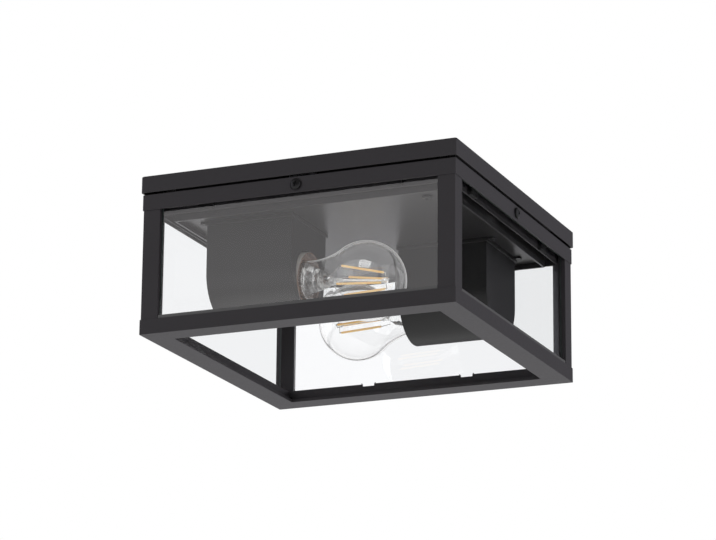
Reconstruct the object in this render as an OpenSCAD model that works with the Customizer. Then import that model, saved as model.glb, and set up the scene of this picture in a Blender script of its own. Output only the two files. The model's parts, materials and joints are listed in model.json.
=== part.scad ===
// Porch ceiling lantern: a shallow square box of black sheet metal with four clear panes and an
// open underside, two lamps lying flat in moulded covers under a lamp plate.
// The ceiling is the plane z = 0. The lantern hangs below it, centred on the Z axis.
// A side bar is drawn on the +X side, where u is the distance from the centre, and turned to each side.

/* [Body] */
// Width of the lantern body over the rails
body_w = 250; // [240:1:270]
// Height from the ceiling to the underside
body_h = 122; // [118:1:130]
// Thickness of the rail and post sheet
sheet_t = 1; // [0.8:0.1:1.2]
// Height of the bottom rails
bottom_rail_h = 11.4; // [10:0.2:14]
// Width of the flange under the lantern
bottom_flange_w = 19.5; // [18:0.5:22]
// Height of the hem on the inner edge of that flange
hem_h = 2.5; // [2:0.1:3]
// Height of the top rails
top_rail_h = 12; // [11:0.2:14]
// Distance from the outer side of a rail to the inner edge of a corner post
post_w = 14.3; // [13:0.1:15]
// Depth of a corner post's returns, from its outer side
post_return = 7.3; // [6:0.1:8]

/* [Ceiling pan] */
// Width of the ceiling pan over its skirt
pan_w = 252.4; // [250:0.2:254]
// Depth of the pan's skirt
pan_h = 13; // [12:0.5:15]
// Corner radius of the pan
pan_corner_r = 1.6; // [1.6:0.2:5]
// Thickness of the pan
pan_t = 1.2; // [1:0.1:1.5]
// Shadow gap between the skirt and the top rails
shadow_gap = 1.5; // [1:0.1:2.5]
// Distance between the two ceiling screw slots
slot_pitch = 160; // [120:5:170]
// Width of a ceiling screw slot
slot_w = 5.5; // [5:0.5:6]
// Length of a ceiling screw slot, end to end
slot_len = 16; // [12:1:20]
// Distance of the cable entry from the centre
cable_entry_y = 40; // [36:1:48]
// Bore of the cable bush
cable_bore_d = 8; // [6:0.5:9]

/* [Glass] */
// Thickness of a pane
pane_t = 3; // [2.5:0.1:3.2]
// Distance from the outer side of a post to a pane
pane_set_back = 3; // [2.5:0.1:3.5]
// Height by which the front and right seals stand above their rails
seal_h = 2.7; // [2:0.1:3]
// Distance between the two pane clips on the front and back
clip_pitch = 83.4; // [70:1:100]

/* [Lamp plate] */
// Width of the lamp plate
plate_w = 214; // [212:1:216]
// Depth of the lamp plate's underside below the ceiling
plate_drop = 28.5; // [28:0.5:30]

/* [Lamp covers] */
// Distance from the centre to a cover's mouth
cover_mouth_x = 19.5; // [18:0.5:22]
// Distance from the centre to a cover's closed end
cover_end_x = 91.5; // [88:0.5:93]
// Distance from the centre to a cover's middle line
cover_y = 56; // [55:0.5:58]
// Outer radius of a cover's round underside
cover_r = 31; // [30:0.5:32]
// Depth of a cover's lowest line below the ceiling
cover_drop = 99; // [97:0.5:100]
// Wall thickness of a cover
cover_wall = 2.2; // [1.8:0.1:2.4]

/* [Lamps] */
// Depth of the front lampholder's mouth centre below the ceiling
front_drop = 73; // [72:0.5:74]
// Depth of the rear lampholder's mouth centre below the ceiling
rear_drop = 74; // [72:0.5:74]
// Angle at which the front lamp droops
front_droop = 6.3; // [0:0.1:7]
// Angle at which the rear lamp droops
rear_droop = 2.7; // [0:0.1:7]
// Diameter of the glass globe
globe_d = 60; // [58:1:61]
// Length of the lamp's glass
glass_len = 77.5; // [76:0.5:79]
// Diameter of the lampholder's rim
holder_rim_d = 42; // [40:0.5:42]

/* [Hidden] */
$fn = 64;
half_w = body_w / 2;
eps = 0.01;

// Heights, all below the ceiling
rail_top_z = -(pan_h + shadow_gap);
rail_low_z = rail_top_z - top_rail_h;
base_z = -body_h;
base_top_z = base_z + bottom_rail_h;
floor_z = base_z + sheet_t;
plate_z = -plate_drop;
pan_under_z = -pan_t;

// Distances from the centre, from the outside in
post_face_u = half_w - sheet_t;
pane_out_u = post_face_u - pane_set_back;
pane_in_u = pane_out_u - pane_t;
lip_out_u = 115;
lip_in_u = lip_out_u - sheet_t;
lip_low_z = rail_low_z - 4.5;
stop_out_u = 112;
stop_in_u = stop_out_u - sheet_t;
stop_top_z = base_z + 10.8;
flange_in_u = half_w - bottom_flange_w;
stop_foot_in_u = flange_in_u + sheet_t + 0.1;
post_in_u = half_w - post_w;

// Pane, its pads and its seal
pane_half_w = post_in_u - 0.1;
pane_low_z = floor_z;
pane_top_z = rail_low_z + 3;
pad_w = 12;
pad_off = 75;
top_pad_low_z = rail_low_z - 2.5;
foot_pad_h = 7;
hidden_seal_h = -0.5;

// Pane clips: tongues bent out of the glass stop, each leaving a notch
clip_w = 9;
clip_notch_w = 10;
clip_notch_h = 1.8;
clip_t = 0.8;
clip_spots = [-clip_pitch / 2, clip_pitch / 2];

// M4 screws and their holes, each thread a plain cylinder
screw_r = 1.95;
thread_r = 2;
screw_clear_r = 2.25;
head_r = 4;
head_h = 2.4;
side_screw_len = 16;
side_screw_z = rail_top_z - 5.9;
recess_depth = 1.2;
recess_span = 4.4;
recess_w = 0.9;

// Hanger tabs under the pan
tab_w = 22;
tab_t = 1.5;
tab_face_u = lip_in_u - 0.5;
tab_foot_in_u = 101;
tab_low_z = side_screw_z - 5.5;
clinch_nut_len = 3;
clinch_nut_r = 4.2;

// Pillars that carry the lamp plate, at two opposite corners
pillar_x = 88;
pillar_y = 86;
pillar_r = 4;
pillar_tap_len = 13;
tray_wall_top_z = -4;

// Earth stud and terminal block
earth_y = -70;
earth_len = 13;
block = [38, 17, 14];
block_pitch = 12.5;
block_wire_z = 6;
block_wire_r = 2.2;
block_screw_y = 4.5;

// Lamp covers
cover_base_h = 3;
cover_base_lip = 1.2;
cover_ear = [4.5, 5, 1.5];
cover_axis_z = -(cover_drop - cover_r);
boss_r = 4;
boss_h = 13;
boss_end_x = 83;
boss_mouth_x = 28;
boss_off_y = 26;
cover_hole_r = holder_rim_d / 2 + 1.5;

// Lampholders: local +X points out of the mouth, and x = 0 is the mouth's face
holder_len = 48;
holder_rim_len = 8;
holder_recess_r = 19.4;
holder_recess_len = 4;
holder_body_r = 19.5;
holder_bore_r = 14.6;
holder_bore_len = 36;
shell_r = 14.5;
shell_bore_r = 13.6;
shell_len = 32;
contact_x = -29.3;
bracket_w = 20;
bracket_t = 1.5;
bracket_low = -12;
bracket_foot = [60, 80];
bracket_screw_x = 74;
lead_hole_x = 74;
lead_hole_off_y = 18;
lead_hole_r = 5.6;
lead_bush_r = 3.6;
lead_off = 1.5;
lead_r = 1.2;
lead_bend_r = 1.45;

// Lamps: E27 cap, glass of one piece, pinched stem and four filaments
cap_r = 13.1;
cap_len = 22;
cap_tip_x = -29;
globe_r = globe_d / 2;
globe_x = glass_len - globe_r;
neck_r = 14.1;
flare_r = 60;
glass_wall = 0.9;
filament_r = 0.85;
filament_from = [26.5, 11];
filament_to = [63.5, 6];
filament_turn = 20;
filament_wire_r = 0.3;
stem_rod_r = 1.2;

FRONT = 3;
RIGHT = 0;
BACK = 1;
LEFT = 2;

// ---- shared shapes ----

module slab(w, d, z_low, z_high) {
    translate([-w / 2, -d / 2, z_low]) cube([w, d, z_high - z_low]);
}

// Square with round corners, as arcs and straight sides
module round_square(w, r) {
    square([w - 2 * r, w], center = true);
    square([w, w - 2 * r], center = true);
    for (x = [-1, 1], y = [-1, 1])
        translate([x * (w / 2 - r), y * (w / 2 - r)]) circle(r);
}

module round_slab(w, r, z_low, z_high) {
    translate([0, 0, z_low]) linear_extrude(z_high - z_low) round_square(w, r);
}

// Bar of the given (u, z) profile on one side, mitred at 45 degrees at both ends
module side_bar(side, profile) {
    reach = body_w;
    rotate([0, 0, 90 * side]) intersection() {
        rotate([90, 0, 0]) linear_extrude(2 * reach, center = true) polygon(profile);
        translate([0, 0, base_z - 5]) linear_extrude(body_h + 10)
            polygon([[0, 0], [reach, -reach], [reach, reach]]);
    }
}

// Moves children to a side's middle, with +X outwards
module on_side(side) {
    rotate([0, 0, 90 * side]) children();
}

module rod(from, to, r) {
    run = to - from;
    len = norm(run);
    translate(from) rotate([0, acos(run[2] / len), atan2(run[1], run[0])]) cylinder(h = len, r = r);
}

module lathe_x(profile) {
    rotate([0, 90, 0]) rotate_extrude() polygon(profile);
}

// Pan-head screw along -X, its head outside x = 0, with a cross recess
module screw_x(len) {
    lathe_x([[0, -len], [screw_r, -len], [screw_r, 0], [head_r, 0], [head_r, 0.9],
             [head_r * 0.87, 1.7], [head_r * 0.6, 2.2], [head_r * 0.25, head_h], [0, head_h]]);
}

module cross_recess() {
    for (turn = [0, 90])
        rotate([turn, 0, 0]) translate([head_h - recess_depth, -recess_span / 2, -recess_w / 2])
            cube([2 * recess_depth, recess_span, recess_w]);
}

module pan_head_screw(len) {
    difference() {
        screw_x(len);
        cross_recess();
    }
}

// Lamp frames: the origin at the mouth's centre and +X out of the mouth
module front_lamp() {
    translate([-cover_mouth_x, -cover_y, -front_drop]) rotate([0, front_droop, 0]) children();
}

module rear_lamp() {
    translate([cover_mouth_x, cover_y, -rear_drop]) rotate([0, 0, 180]) rotate([0, rear_droop, 0]) children();
}

module turned_to_rear() {
    rotate([0, 0, 180]) children();
}

// ---- ceiling pan and what is fixed to it ----

module slot_cut(x) {
    run = slot_len - slot_w;
    translate([x, 0, pan_under_z - 1]) linear_extrude(pan_t + 2) {
        square([run, slot_w], center = true);
        for (end = [-1, 1]) translate([end * run / 2, 0]) circle(slot_w / 2);
    }
}

module ceiling_pan() {
    color("#2a2a2b") difference() {
        round_slab(pan_w, pan_corner_r, -pan_h, 0);
        round_slab(pan_w - 2 * pan_t, pan_corner_r - pan_t, -pan_h - 1, pan_under_z);
        for (end = [-1, 1]) slot_cut(end * slot_pitch / 2);
        translate([0, cable_entry_y, pan_under_z - 1]) cylinder(h = pan_t + 2, r = 10);
    }
}

module cable_bush() {
    color("#1c1c1c") translate([0, cable_entry_y, 0]) rotate_extrude()
        polygon([[cable_bore_d / 2, 0], [10, 0], [10, pan_under_z], [13, pan_under_z],
                 [13, pan_under_z - 1.5], [11, pan_under_z - 3], [cable_bore_d / 2, pan_under_z - 3]]);
}

module hanger_tabs() {
    color("#8d8f92") for (side = [0:3]) on_side(side) difference() {
        union() {
            translate([tab_foot_in_u, -tab_w / 2, pan_under_z - tab_t])
                cube([tab_face_u - tab_foot_in_u, tab_w, tab_t]);
            translate([tab_face_u - tab_t, -tab_w / 2, tab_low_z])
                cube([tab_t, tab_w, pan_under_z - tab_low_z]);
            translate([tab_face_u - tab_t - clinch_nut_len, 0, side_screw_z]) rotate([0, 90, 0])
                cylinder(h = clinch_nut_len + eps, r = clinch_nut_r);
        }
        translate([tab_face_u - 10, 0, side_screw_z]) rotate([0, 90, 0]) cylinder(h = 12, r = thread_r);
    }
}

module plate_pillars() {
    color("#a5a7aa") for (end = [-1, 1]) translate([end * pillar_x, -end * pillar_y, 0]) difference() {
        translate([0, 0, plate_z + sheet_t]) cylinder(h = plate_drop - sheet_t - pan_t, r = pillar_r);
        translate([0, 0, plate_z]) cylinder(h = pillar_tap_len + sheet_t, r = thread_r);
    }
}

module earth_stud() {
    color("#b9975b") translate([0, earth_y, pan_under_z]) {
        translate([0, 0, -earth_len]) cylinder(h = earth_len, r = thread_r);
        translate([0, 0, -8]) cylinder(h = 3.2, r = 4.04, $fn = 6);
        translate([0, 0, -4.8]) cylinder(h = 0.8, r = 4.5);
    }
}

// ---- lamp plate ----

module plate_hole(x, y, r) {
    translate([x, y, plate_z - 1]) cylinder(h = sheet_t + 2, r = r);
}

module lamp_plate() {
    color("#2c2c2e") difference() {
        slab(plate_w, plate_w, plate_z, tray_wall_top_z);
        slab(plate_w - 2 * sheet_t, plate_w - 2 * sheet_t, plate_z + sheet_t, 0);
        for (end = [-1, 1]) {
            plate_hole(end * pillar_x, -end * pillar_y, screw_clear_r);
            plate_hole(end * boss_end_x, end * (cover_y + boss_off_y), screw_clear_r);
            plate_hole(end * boss_mouth_x, end * (cover_y - boss_off_y), screw_clear_r);
            plate_hole(end * bracket_screw_x, end * cover_y, screw_clear_r);
            plate_hole(end * lead_hole_x, end * (cover_y - lead_hole_off_y), lead_hole_r);
        }
    }
}

module plate_screws() {
    color("#242425") for (end = [-1, 1]) translate([end * pillar_x, -end * pillar_y, plate_z])
        rotate([0, 90, 0]) pan_head_screw(10);
}

module terminal_block() {
    color("#e8e6df") translate([0, 0, plate_z + sheet_t]) difference() {
        translate([-block[0] / 2, -block[1] / 2, 0]) cube(block);
        for (way = [-1, 0, 1]) {
            translate([way * block_pitch, -block[1], block_wire_z]) rotate([-90, 0, 0])
                cylinder(h = 2 * block[1], r = block_wire_r);
            for (end = [-1, 1]) translate([way * block_pitch, end * block_screw_y, block_wire_z])
                cylinder(h = block[2], r = 2);
        }
        for (way = [-1, 1]) translate([way * block_pitch / 2 - 0.6, -block[1], block[2] - 4])
            cube([1.2, 2 * block[1], block[2]]);
    }
}

module lead_bushes() {
    color("#1c1c1c") for (end = [-1, 1])
        translate([end * lead_hole_x, end * (cover_y - lead_hole_off_y), plate_z]) rotate_extrude()
            polygon([[lead_bush_r, -1.5], [lead_hole_r + 1.5, -1.5], [lead_hole_r + 1.5, 0], [lead_hole_r, 0],
                     [lead_hole_r, sheet_t], [lead_hole_r + 1.5, sheet_t], [lead_hole_r + 1.5, sheet_t + 1.5],
                     [lead_bush_r, sheet_t + 1.5]]);
}

// One lead from the terminal block, through the plate, to the back of the front lampholder
module front_lead(way, off) {
    start_y = -block[1] / 2;
    run_z = plate_z + sheet_t + block_wire_z;
    run_y = start_y - 10 - off;
    hole_x = -lead_hole_x + off;
    hole_y = -(cover_y - lead_hole_off_y) + off;
    low_z = -55;
    path = [[way * block_pitch, start_y, run_z], [way * block_pitch, run_y, run_z], [hole_x, run_y, run_z],
            [hole_x, hole_y, run_z], [hole_x, hole_y, low_z],
            [-cover_mouth_x - holder_len - 0.9, -cover_y + 14 + off, low_z - 7]];
    for (i = [0:len(path) - 2]) {
        rod(path[i], path[i + 1], lead_r);
        translate(path[i]) sphere(lead_bend_r);
    }
}

module lamp_leads() {
    color("#d8d2c4") {
        front_lead(-1, -lead_off);
        front_lead(0, lead_off);
        turned_to_rear() {
            front_lead(-1, -lead_off);
            front_lead(0, lead_off);
        }
    }
}

// ---- lantern frame ----

module top_rail(side) {
    color("#2a2a2b") difference() {
        side_bar(side, [[lip_in_u, rail_top_z], [half_w, rail_top_z], [half_w, rail_low_z],
                        [half_w - sheet_t, rail_low_z], [half_w - sheet_t, rail_top_z - sheet_t],
                        [lip_out_u, rail_top_z - sheet_t], [lip_out_u, lip_low_z], [lip_in_u, lip_low_z]]);
        on_side(side) translate([lip_in_u - 5, 0, side_screw_z]) rotate([0, 90, 0])
            cylinder(h = 20, r = screw_clear_r);
    }
}

module bottom_rail(side) {
    hem_out_u = flange_in_u + sheet_t;
    color("#28282a") side_bar(side, [[flange_in_u, base_z], [half_w, base_z], [half_w, base_top_z],
                     [half_w - sheet_t, base_top_z], [half_w - sheet_t, floor_z], [hem_out_u, floor_z],
                     [hem_out_u, base_z + hem_h], [flange_in_u, base_z + hem_h]]);
}

module clip_notch(y) {
    translate([stop_in_u - 1, y - clip_notch_w / 2, stop_top_z - clip_notch_h])
        cube([sheet_t + 2, clip_notch_w, clip_notch_h + 1]);
}

// Tongue bent out from the stop until it touches the pane
module clip_tongue(y) {
    low = stop_top_z - 5;
    high = stop_top_z - clip_notch_h - 0.4;
    translate([0, y + clip_w / 2, 0]) rotate([90, 0, 0]) linear_extrude(clip_w)
        polygon([[stop_out_u - 0.2, low], [pane_in_u, high - clip_t], [pane_in_u, high],
                 [stop_out_u - 0.2, low + 1.2 * clip_t]]);
}

// Angle behind each pane. The front and back ones have the clips, at the given distances along the side.
module glass_stop(side, clips = []) {
    color("#28282a") {
        difference() {
            side_bar(side, [[stop_foot_in_u, floor_z], [stop_out_u, floor_z], [stop_out_u, stop_top_z],
                            [stop_in_u, stop_top_z], [stop_in_u, floor_z + sheet_t],
                            [stop_foot_in_u, floor_z + sheet_t]]);
            on_side(side) for (y = clips) clip_notch(y);
        }
        on_side(side) for (y = clips) clip_tongue(y);
    }
}

// Corner post with a return on each leg, drawn at the +X +Y corner
module post(corner) {
    low = floor_z;
    high = rail_top_z - sheet_t;
    face = post_face_u;
    inner = face - sheet_t;
    edge = post_in_u;
    edge_in = edge + sheet_t;
    back = face - post_return;
    color("#2b2b2d") rotate([0, 0, 90 * corner]) translate([0, 0, low]) linear_extrude(high - low)
        polygon([[face, face], [face, edge], [back, edge], [back, edge_in], [inner, edge_in], [inner, inner],
                 [edge_in, inner], [edge_in, back], [edge, back], [edge, face]]);
}

module pane(side) {
    color("#dfe6e6", 0.3) on_side(side) translate([pane_in_u, -pane_half_w, pane_low_z])
        cube([pane_t, 2 * pane_half_w, pane_top_z - pane_low_z]);
}

// Pads behind each pane, two at its top and two at its foot
module pane_pads() {
    color("#2a2a2a") for (side = [0:3], end = [-1, 1]) on_side(side)
        translate([0, end * pad_off - pad_w / 2, 0]) {
            translate([lip_out_u, 0, top_pad_low_z])
                cube([pane_in_u - lip_out_u, pad_w, pane_top_z - top_pad_low_z]);
            translate([stop_out_u, 0, floor_z]) cube([pane_in_u - stop_out_u, pad_w, foot_pad_h]);
        }
}

// Strips between the bottom rails and the panes
module pane_seals() {
    color("#5a5a5b") for (side = [0:3]) on_side(side)
        translate([pane_out_u, -pane_half_w, floor_z])
            cube([pane_set_back, 2 * pane_half_w,
                  base_top_z - floor_z + (side == FRONT || side == RIGHT ? seal_h : hidden_seal_h)]);
}

module side_screws() {
    color("#202021") for (side = [0:3]) on_side(side)
        translate([half_w, 0, side_screw_z]) rotate([45, 0, 0]) pan_head_screw(side_screw_len);
}

// ---- lamp covers and their fixings ----

module cover_profile(r) {
    circle(r);
    translate([-r, 0]) square([2 * r, plate_z - cover_axis_z]);
}

// Tunnel of the given radius from x_low to x_high, under the lamp plate
module tunnel(r, x_low, x_high) {
    translate([x_low, -cover_y, cover_axis_z]) rotate([90, 0, 90]) linear_extrude(x_high - x_low)
        cover_profile(r);
}

module cover_boss_at(x, y, r) {
    translate([x, y, plate_z - boss_h]) cylinder(h = boss_h, r = r);
}

// Moulded cover over the front lampholder, its mouth towards +X
module lamp_cover(mouth_drop) {
    base_len = cover_end_x - cover_mouth_x + 2 * cover_base_lip;
    base_w = 2 * (cover_r + cover_base_lip);
    color("#2e2e30") difference() {
        union() {
            tunnel(cover_r, -cover_end_x, -cover_mouth_x);
            translate([-cover_end_x - cover_base_lip, -cover_y - base_w / 2, plate_z - cover_base_h])
                cube([base_len, base_w, cover_base_h]);
            for (end = [-1, 1]) translate([-cover_end_x - cover_base_lip - cover_ear[0],
                    -cover_y + end * (cover_r - cover_ear[1] / 2) - cover_ear[1] / 2, plate_z - cover_ear[2]])
                cube([cover_ear[0] + 1, cover_ear[1], cover_ear[2]]);
        }
        difference() {
            tunnel(cover_r - cover_wall, -cover_end_x + cover_wall, -cover_mouth_x - cover_wall);
            cover_boss_at(-boss_end_x, -cover_y - boss_off_y, boss_r);
            cover_boss_at(-boss_mouth_x, -cover_y + boss_off_y, boss_r);
        }
        translate([-cover_mouth_x - cover_wall - 1, -cover_y, -mouth_drop]) rotate([0, 90, 0])
            cylinder(h = cover_wall + 2, r = cover_hole_r);
        translate([0, 0, -eps]) cover_boss_at(-boss_end_x, -cover_y - boss_off_y, 1.5);
        translate([0, 0, -eps]) cover_boss_at(-boss_mouth_x, -cover_y + boss_off_y, 1.5);
    }
}

module cover_screw_pair() {
    for (spot = [[-boss_end_x, -cover_y - boss_off_y], [-boss_mouth_x, -cover_y + boss_off_y]])
        translate([spot[0], spot[1], plate_z + sheet_t]) {
            cylinder(h = 2.2, r = 3.5);
            translate([0, 0, -10]) cylinder(h = 10, r = 1.45);
        }
}

module cover_screws() {
    color("#a5a7aa") {
        cover_screw_pair();
        turned_to_rear() cover_screw_pair();
    }
}

// ---- lampholders ----

// Strap bent down from the plate, its leg drooping with the holder that it carries.
// Its (x, z) outline is extruded over its width; the leg runs up into the middle of the foot.
module holder_bracket(drop, droop) {
    leg_top = drop + plate_z - bracket_t / 2;
    leg = [for (x = [-holder_len, -holder_len - bracket_t])
        let (up = (leg_top + x * sin(droop)) / cos(droop))
        [[x, bracket_low], [x, up]]];
    turned = [for (p = [leg[0][0], leg[0][1], leg[1][1], leg[1][0]])
        [p[0] * cos(droop) + p[1] * sin(droop) - cover_mouth_x, p[1] * cos(droop) - p[0] * sin(droop) - drop]];
    color("#a5a7aa") difference() {
        translate([0, -cover_y + bracket_w / 2, 0]) rotate([90, 0, 0]) linear_extrude(bracket_w) {
            polygon(turned);
            translate([-bracket_foot[1], plate_z - bracket_t])
                square([bracket_foot[1] - bracket_foot[0], bracket_t]);
        }
        translate([-cover_mouth_x, -cover_y, -drop]) rotate([0, droop, 0])
            translate([-holder_len - 4, 0, 0]) rotate([0, 90, 0]) cylinder(h = 8, r = screw_clear_r);
        translate([-bracket_screw_x, -cover_y, plate_z - 4]) cylinder(h = 8, r = thread_r);
    }
}

module bracket_screws() {
    color("#a5a7aa") for (end = [-1, 1])
        translate([end * bracket_screw_x, end * cover_y, plate_z + sheet_t]) {
            cylinder(h = head_h, r = head_r);
            translate([0, 0, -6]) cylinder(h = 6, r = screw_r);
        }
}

module holder_screw() {
    translate([-holder_len - bracket_t, 0, 0]) rotate([0, 180, 0]) pan_head_screw(9);
}

module holder_screws() {
    color("#a5a7aa") {
        front_lamp() holder_screw();
        rear_lamp() holder_screw();
    }
}

// Glazed ceramic body with a raised rim and a deep bore for the screw shell
module lampholder() {
    back = -holder_len;
    color("#e6dfd0") lathe_x([[thread_r, back], [holder_body_r - 2, back], [holder_body_r, back + 2],
        [holder_body_r, -holder_rim_len - 1.5], [holder_rim_d / 2, -holder_rim_len],
        [holder_rim_d / 2, 0.4], [holder_rim_d / 2 - 0.6, 1], [holder_recess_r + 0.3, 1],
        [holder_recess_r, 0.7], [holder_recess_r, -holder_recess_len], [holder_bore_r, -holder_recess_len],
        [holder_bore_r, -holder_bore_len], [thread_r, -holder_bore_len]]);
}

// Screw shell with rolled thread rings and a turned-in floor
module screw_shell() {
    pitch = 3.6;
    low = -shell_len - 1;
    top = -holder_recess_len + 0.5;
    first = top - 2.5;
    rings = [for (i = [0:6]) each [[shell_r, first - i * pitch], [shell_r - 0.5, first - (i + 0.5) * pitch]]];
    color("#b98a52") lathe_x(concat([[shell_bore_r, top], [shell_r, top]], rings,
        [[shell_r, low], [6, low], [6, low + 0.8], [shell_bore_r, low + 0.8]]));
}

// Sprung centre contact on the bore's floor
module centre_contact() {
    color("#c39a5c") {
        translate([-holder_bore_len, -3, -3]) cube([0.6, 12, 6]);
        translate([-holder_bore_len, 0, 0]) rotate([0, 90, 0]) cylinder(h = 4, r = 2.2);
        translate([contact_x - 0.6, -3.5, -3]) cube([0.6, 7, 6]);
        rod([-holder_bore_len, 0, 0], [contact_x, 0, 0], 2.2);
    }
}

// ---- lamps ----

// Half outline of the glass, from the neck to the top of the dome
function glass_outline(inset) =
    let (r = globe_r - inset,
         flare_x = globe_x - sqrt(pow(globe_r + flare_r, 2) - pow(neck_r + flare_r, 2)),
         flare_c = neck_r + flare_r,
         join = atan2(flare_c, globe_x - flare_x),
         start = acos((0.5 - flare_x) / flare_r))
    concat(
        [for (i = [0:8]) let (a = start + (join - start) * i / 8)
            [flare_c - (flare_r + inset) * sin(a), flare_x + (flare_r + inset) * cos(a)]],
        [for (i = [1:16]) let (a = (180 - join) * (1 - i / 16))
            [max(r * sin(a), 0), globe_x + r * cos(a)]]);

module bulb_glass() {
    outer = glass_outline(0);
    inner = glass_outline(glass_wall);
    backwards = [for (i = [len(inner) - 1:-1:0]) inner[i]];
    color("#e4ebec", 0.35) lathe_x(concat(outer, backwards));
}

// Screw cap with rolled rings, black insulator and contact tip
module bulb_cap() {
    pitch = 3.6;
    rings = [for (i = [0:4]) each [[cap_r, -2.6 - i * pitch], [cap_r - 0.8, -2.6 - (i + 0.5) * pitch]]];
    outline = concat([[0, 0.5], [cap_r - 0.3, 0.5], [cap_r - 0.3, -1.4]], rings,
        [[cap_r - 0.6, -cap_len], [7, cap_tip_x + 2.2], [4.8, cap_tip_x + 1], [4, cap_tip_x], [0, cap_tip_x]]);
    color("#c9ccd0") lathe_x(outline);
}

// Flared foot, pinched neck and centre rod of the glass mount
module bulb_stem() {
    color("#e9eeee", 0.5) lathe_x([[0, 0.5], [10.5, 0.5], [10.2, 4], [8, 10], [6.2, 16], [5, 21], [3.4, 24.5],
        [1.4, 26], [stem_rod_r, 30], [stem_rod_r, 64], [0.6, 65], [0, 65]]);
}

// Four filament sticks that lean in towards the dome, and the wires that carry them
module bulb_filaments() {
    color("#e2a64a") for (i = [0:3]) rotate([filament_turn + 90 * i, 0, 0]) {
        rod([filament_from[0], 0, filament_from[1]], [filament_to[0], 0, filament_to[1]], filament_r);
        rod([filament_to[0] - 0.4, 0, filament_to[1]], [filament_to[0] - 0.4, 0, stem_rod_r], filament_wire_r);
        rod([filament_from[0] + 0.4, 0, filament_from[1]], [20, 0, 5.3], filament_wire_r);
    }
}

ceiling_pan();
cable_bush();
hanger_tabs();
plate_pillars();
earth_stud();
lamp_plate();
terminal_block();
lead_bushes();
lamp_leads();
plate_screws();
top_rail(FRONT);  // top_rail_front
top_rail(RIGHT);  // top_rail_right
top_rail(BACK);  // top_rail_back
top_rail(LEFT);  // top_rail_left
bottom_rail(FRONT);  // bottom_rail_front
bottom_rail(RIGHT);  // bottom_rail_right
bottom_rail(BACK);  // bottom_rail_back
bottom_rail(LEFT);  // bottom_rail_left
glass_stop(FRONT, clip_spots);  // glass_stop_front
glass_stop(RIGHT);  // glass_stop_right
glass_stop(BACK, clip_spots);  // glass_stop_back
glass_stop(LEFT);  // glass_stop_left
post(3);  // post_front_right
post(0);  // post_back_right
post(1);  // post_back_left
post(2);  // post_front_left
pane(FRONT);  // pane_front
pane(RIGHT);  // pane_right
pane(BACK);  // pane_back
pane(LEFT);  // pane_left
pane_pads();
pane_seals();
side_screws();
lamp_cover(front_drop);  // front_cover
turned_to_rear() lamp_cover(rear_drop);  // rear_cover
cover_screws();
holder_bracket(front_drop, front_droop);  // front_bracket
turned_to_rear() holder_bracket(rear_drop, rear_droop);  // rear_bracket
bracket_screws();
holder_screws();
front_lamp() lampholder();  // front_holder
rear_lamp() lampholder();  // rear_holder
front_lamp() screw_shell();  // front_shell
rear_lamp() screw_shell();  // rear_shell
front_lamp() centre_contact();  // front_contact
rear_lamp() centre_contact();  // rear_contact
front_lamp() bulb_glass();  // front_bulb_glass
front_lamp() bulb_cap();  // front_bulb_cap
front_lamp() bulb_stem();  // front_bulb_stem
front_lamp() bulb_filaments();  // front_bulb_filaments
rear_lamp() bulb_glass();  // rear_bulb_glass
rear_lamp() bulb_cap();  // rear_bulb_cap
rear_lamp() bulb_stem();  // rear_bulb_stem
rear_lamp() bulb_filaments();  // rear_bulb_filaments
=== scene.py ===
"""Looks of the porch ceiling lantern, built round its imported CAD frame.

Sizes in the classes are in millimetres and become metres where a mesh is made. The ceiling is the plane
z = 0 and the lantern hangs below it. +X runs along the two lamps, and the front pane faces -Y. A bar or a
pane is made on the right-hand side, where u is its distance from the centre, and turned to each side.
"""

from __future__ import annotations

import json
import logging
import math
from collections.abc import Callable, Iterator
from contextlib import contextmanager
from dataclasses import dataclass
from enum import Enum

import bmesh
import bpy
from mathutils import Matrix, Vector

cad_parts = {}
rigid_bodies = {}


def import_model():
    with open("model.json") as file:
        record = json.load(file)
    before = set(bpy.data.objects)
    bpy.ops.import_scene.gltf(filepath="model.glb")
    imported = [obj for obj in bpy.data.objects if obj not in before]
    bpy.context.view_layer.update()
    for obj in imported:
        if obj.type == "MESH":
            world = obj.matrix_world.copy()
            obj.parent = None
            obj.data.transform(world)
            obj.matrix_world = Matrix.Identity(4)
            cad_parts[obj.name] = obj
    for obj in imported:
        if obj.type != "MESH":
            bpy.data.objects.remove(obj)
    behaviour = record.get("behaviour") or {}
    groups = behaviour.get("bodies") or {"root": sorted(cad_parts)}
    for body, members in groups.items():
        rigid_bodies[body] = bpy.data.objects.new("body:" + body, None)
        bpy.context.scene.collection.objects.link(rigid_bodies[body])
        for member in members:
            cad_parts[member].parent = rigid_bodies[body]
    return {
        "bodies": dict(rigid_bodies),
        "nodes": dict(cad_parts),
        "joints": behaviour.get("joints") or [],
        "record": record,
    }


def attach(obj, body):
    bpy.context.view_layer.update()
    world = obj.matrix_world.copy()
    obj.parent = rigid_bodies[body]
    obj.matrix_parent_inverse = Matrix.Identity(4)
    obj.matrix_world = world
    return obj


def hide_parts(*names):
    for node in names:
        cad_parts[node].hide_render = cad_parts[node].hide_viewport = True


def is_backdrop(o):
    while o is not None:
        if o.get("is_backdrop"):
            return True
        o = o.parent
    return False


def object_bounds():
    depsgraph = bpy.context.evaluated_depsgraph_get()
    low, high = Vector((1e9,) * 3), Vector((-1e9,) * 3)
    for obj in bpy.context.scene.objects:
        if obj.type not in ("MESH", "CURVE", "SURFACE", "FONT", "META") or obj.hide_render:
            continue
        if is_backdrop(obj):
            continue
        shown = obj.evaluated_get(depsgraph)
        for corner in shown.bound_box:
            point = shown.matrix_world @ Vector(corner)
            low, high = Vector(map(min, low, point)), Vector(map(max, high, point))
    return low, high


log = logging.getLogger("lantern")

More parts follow.
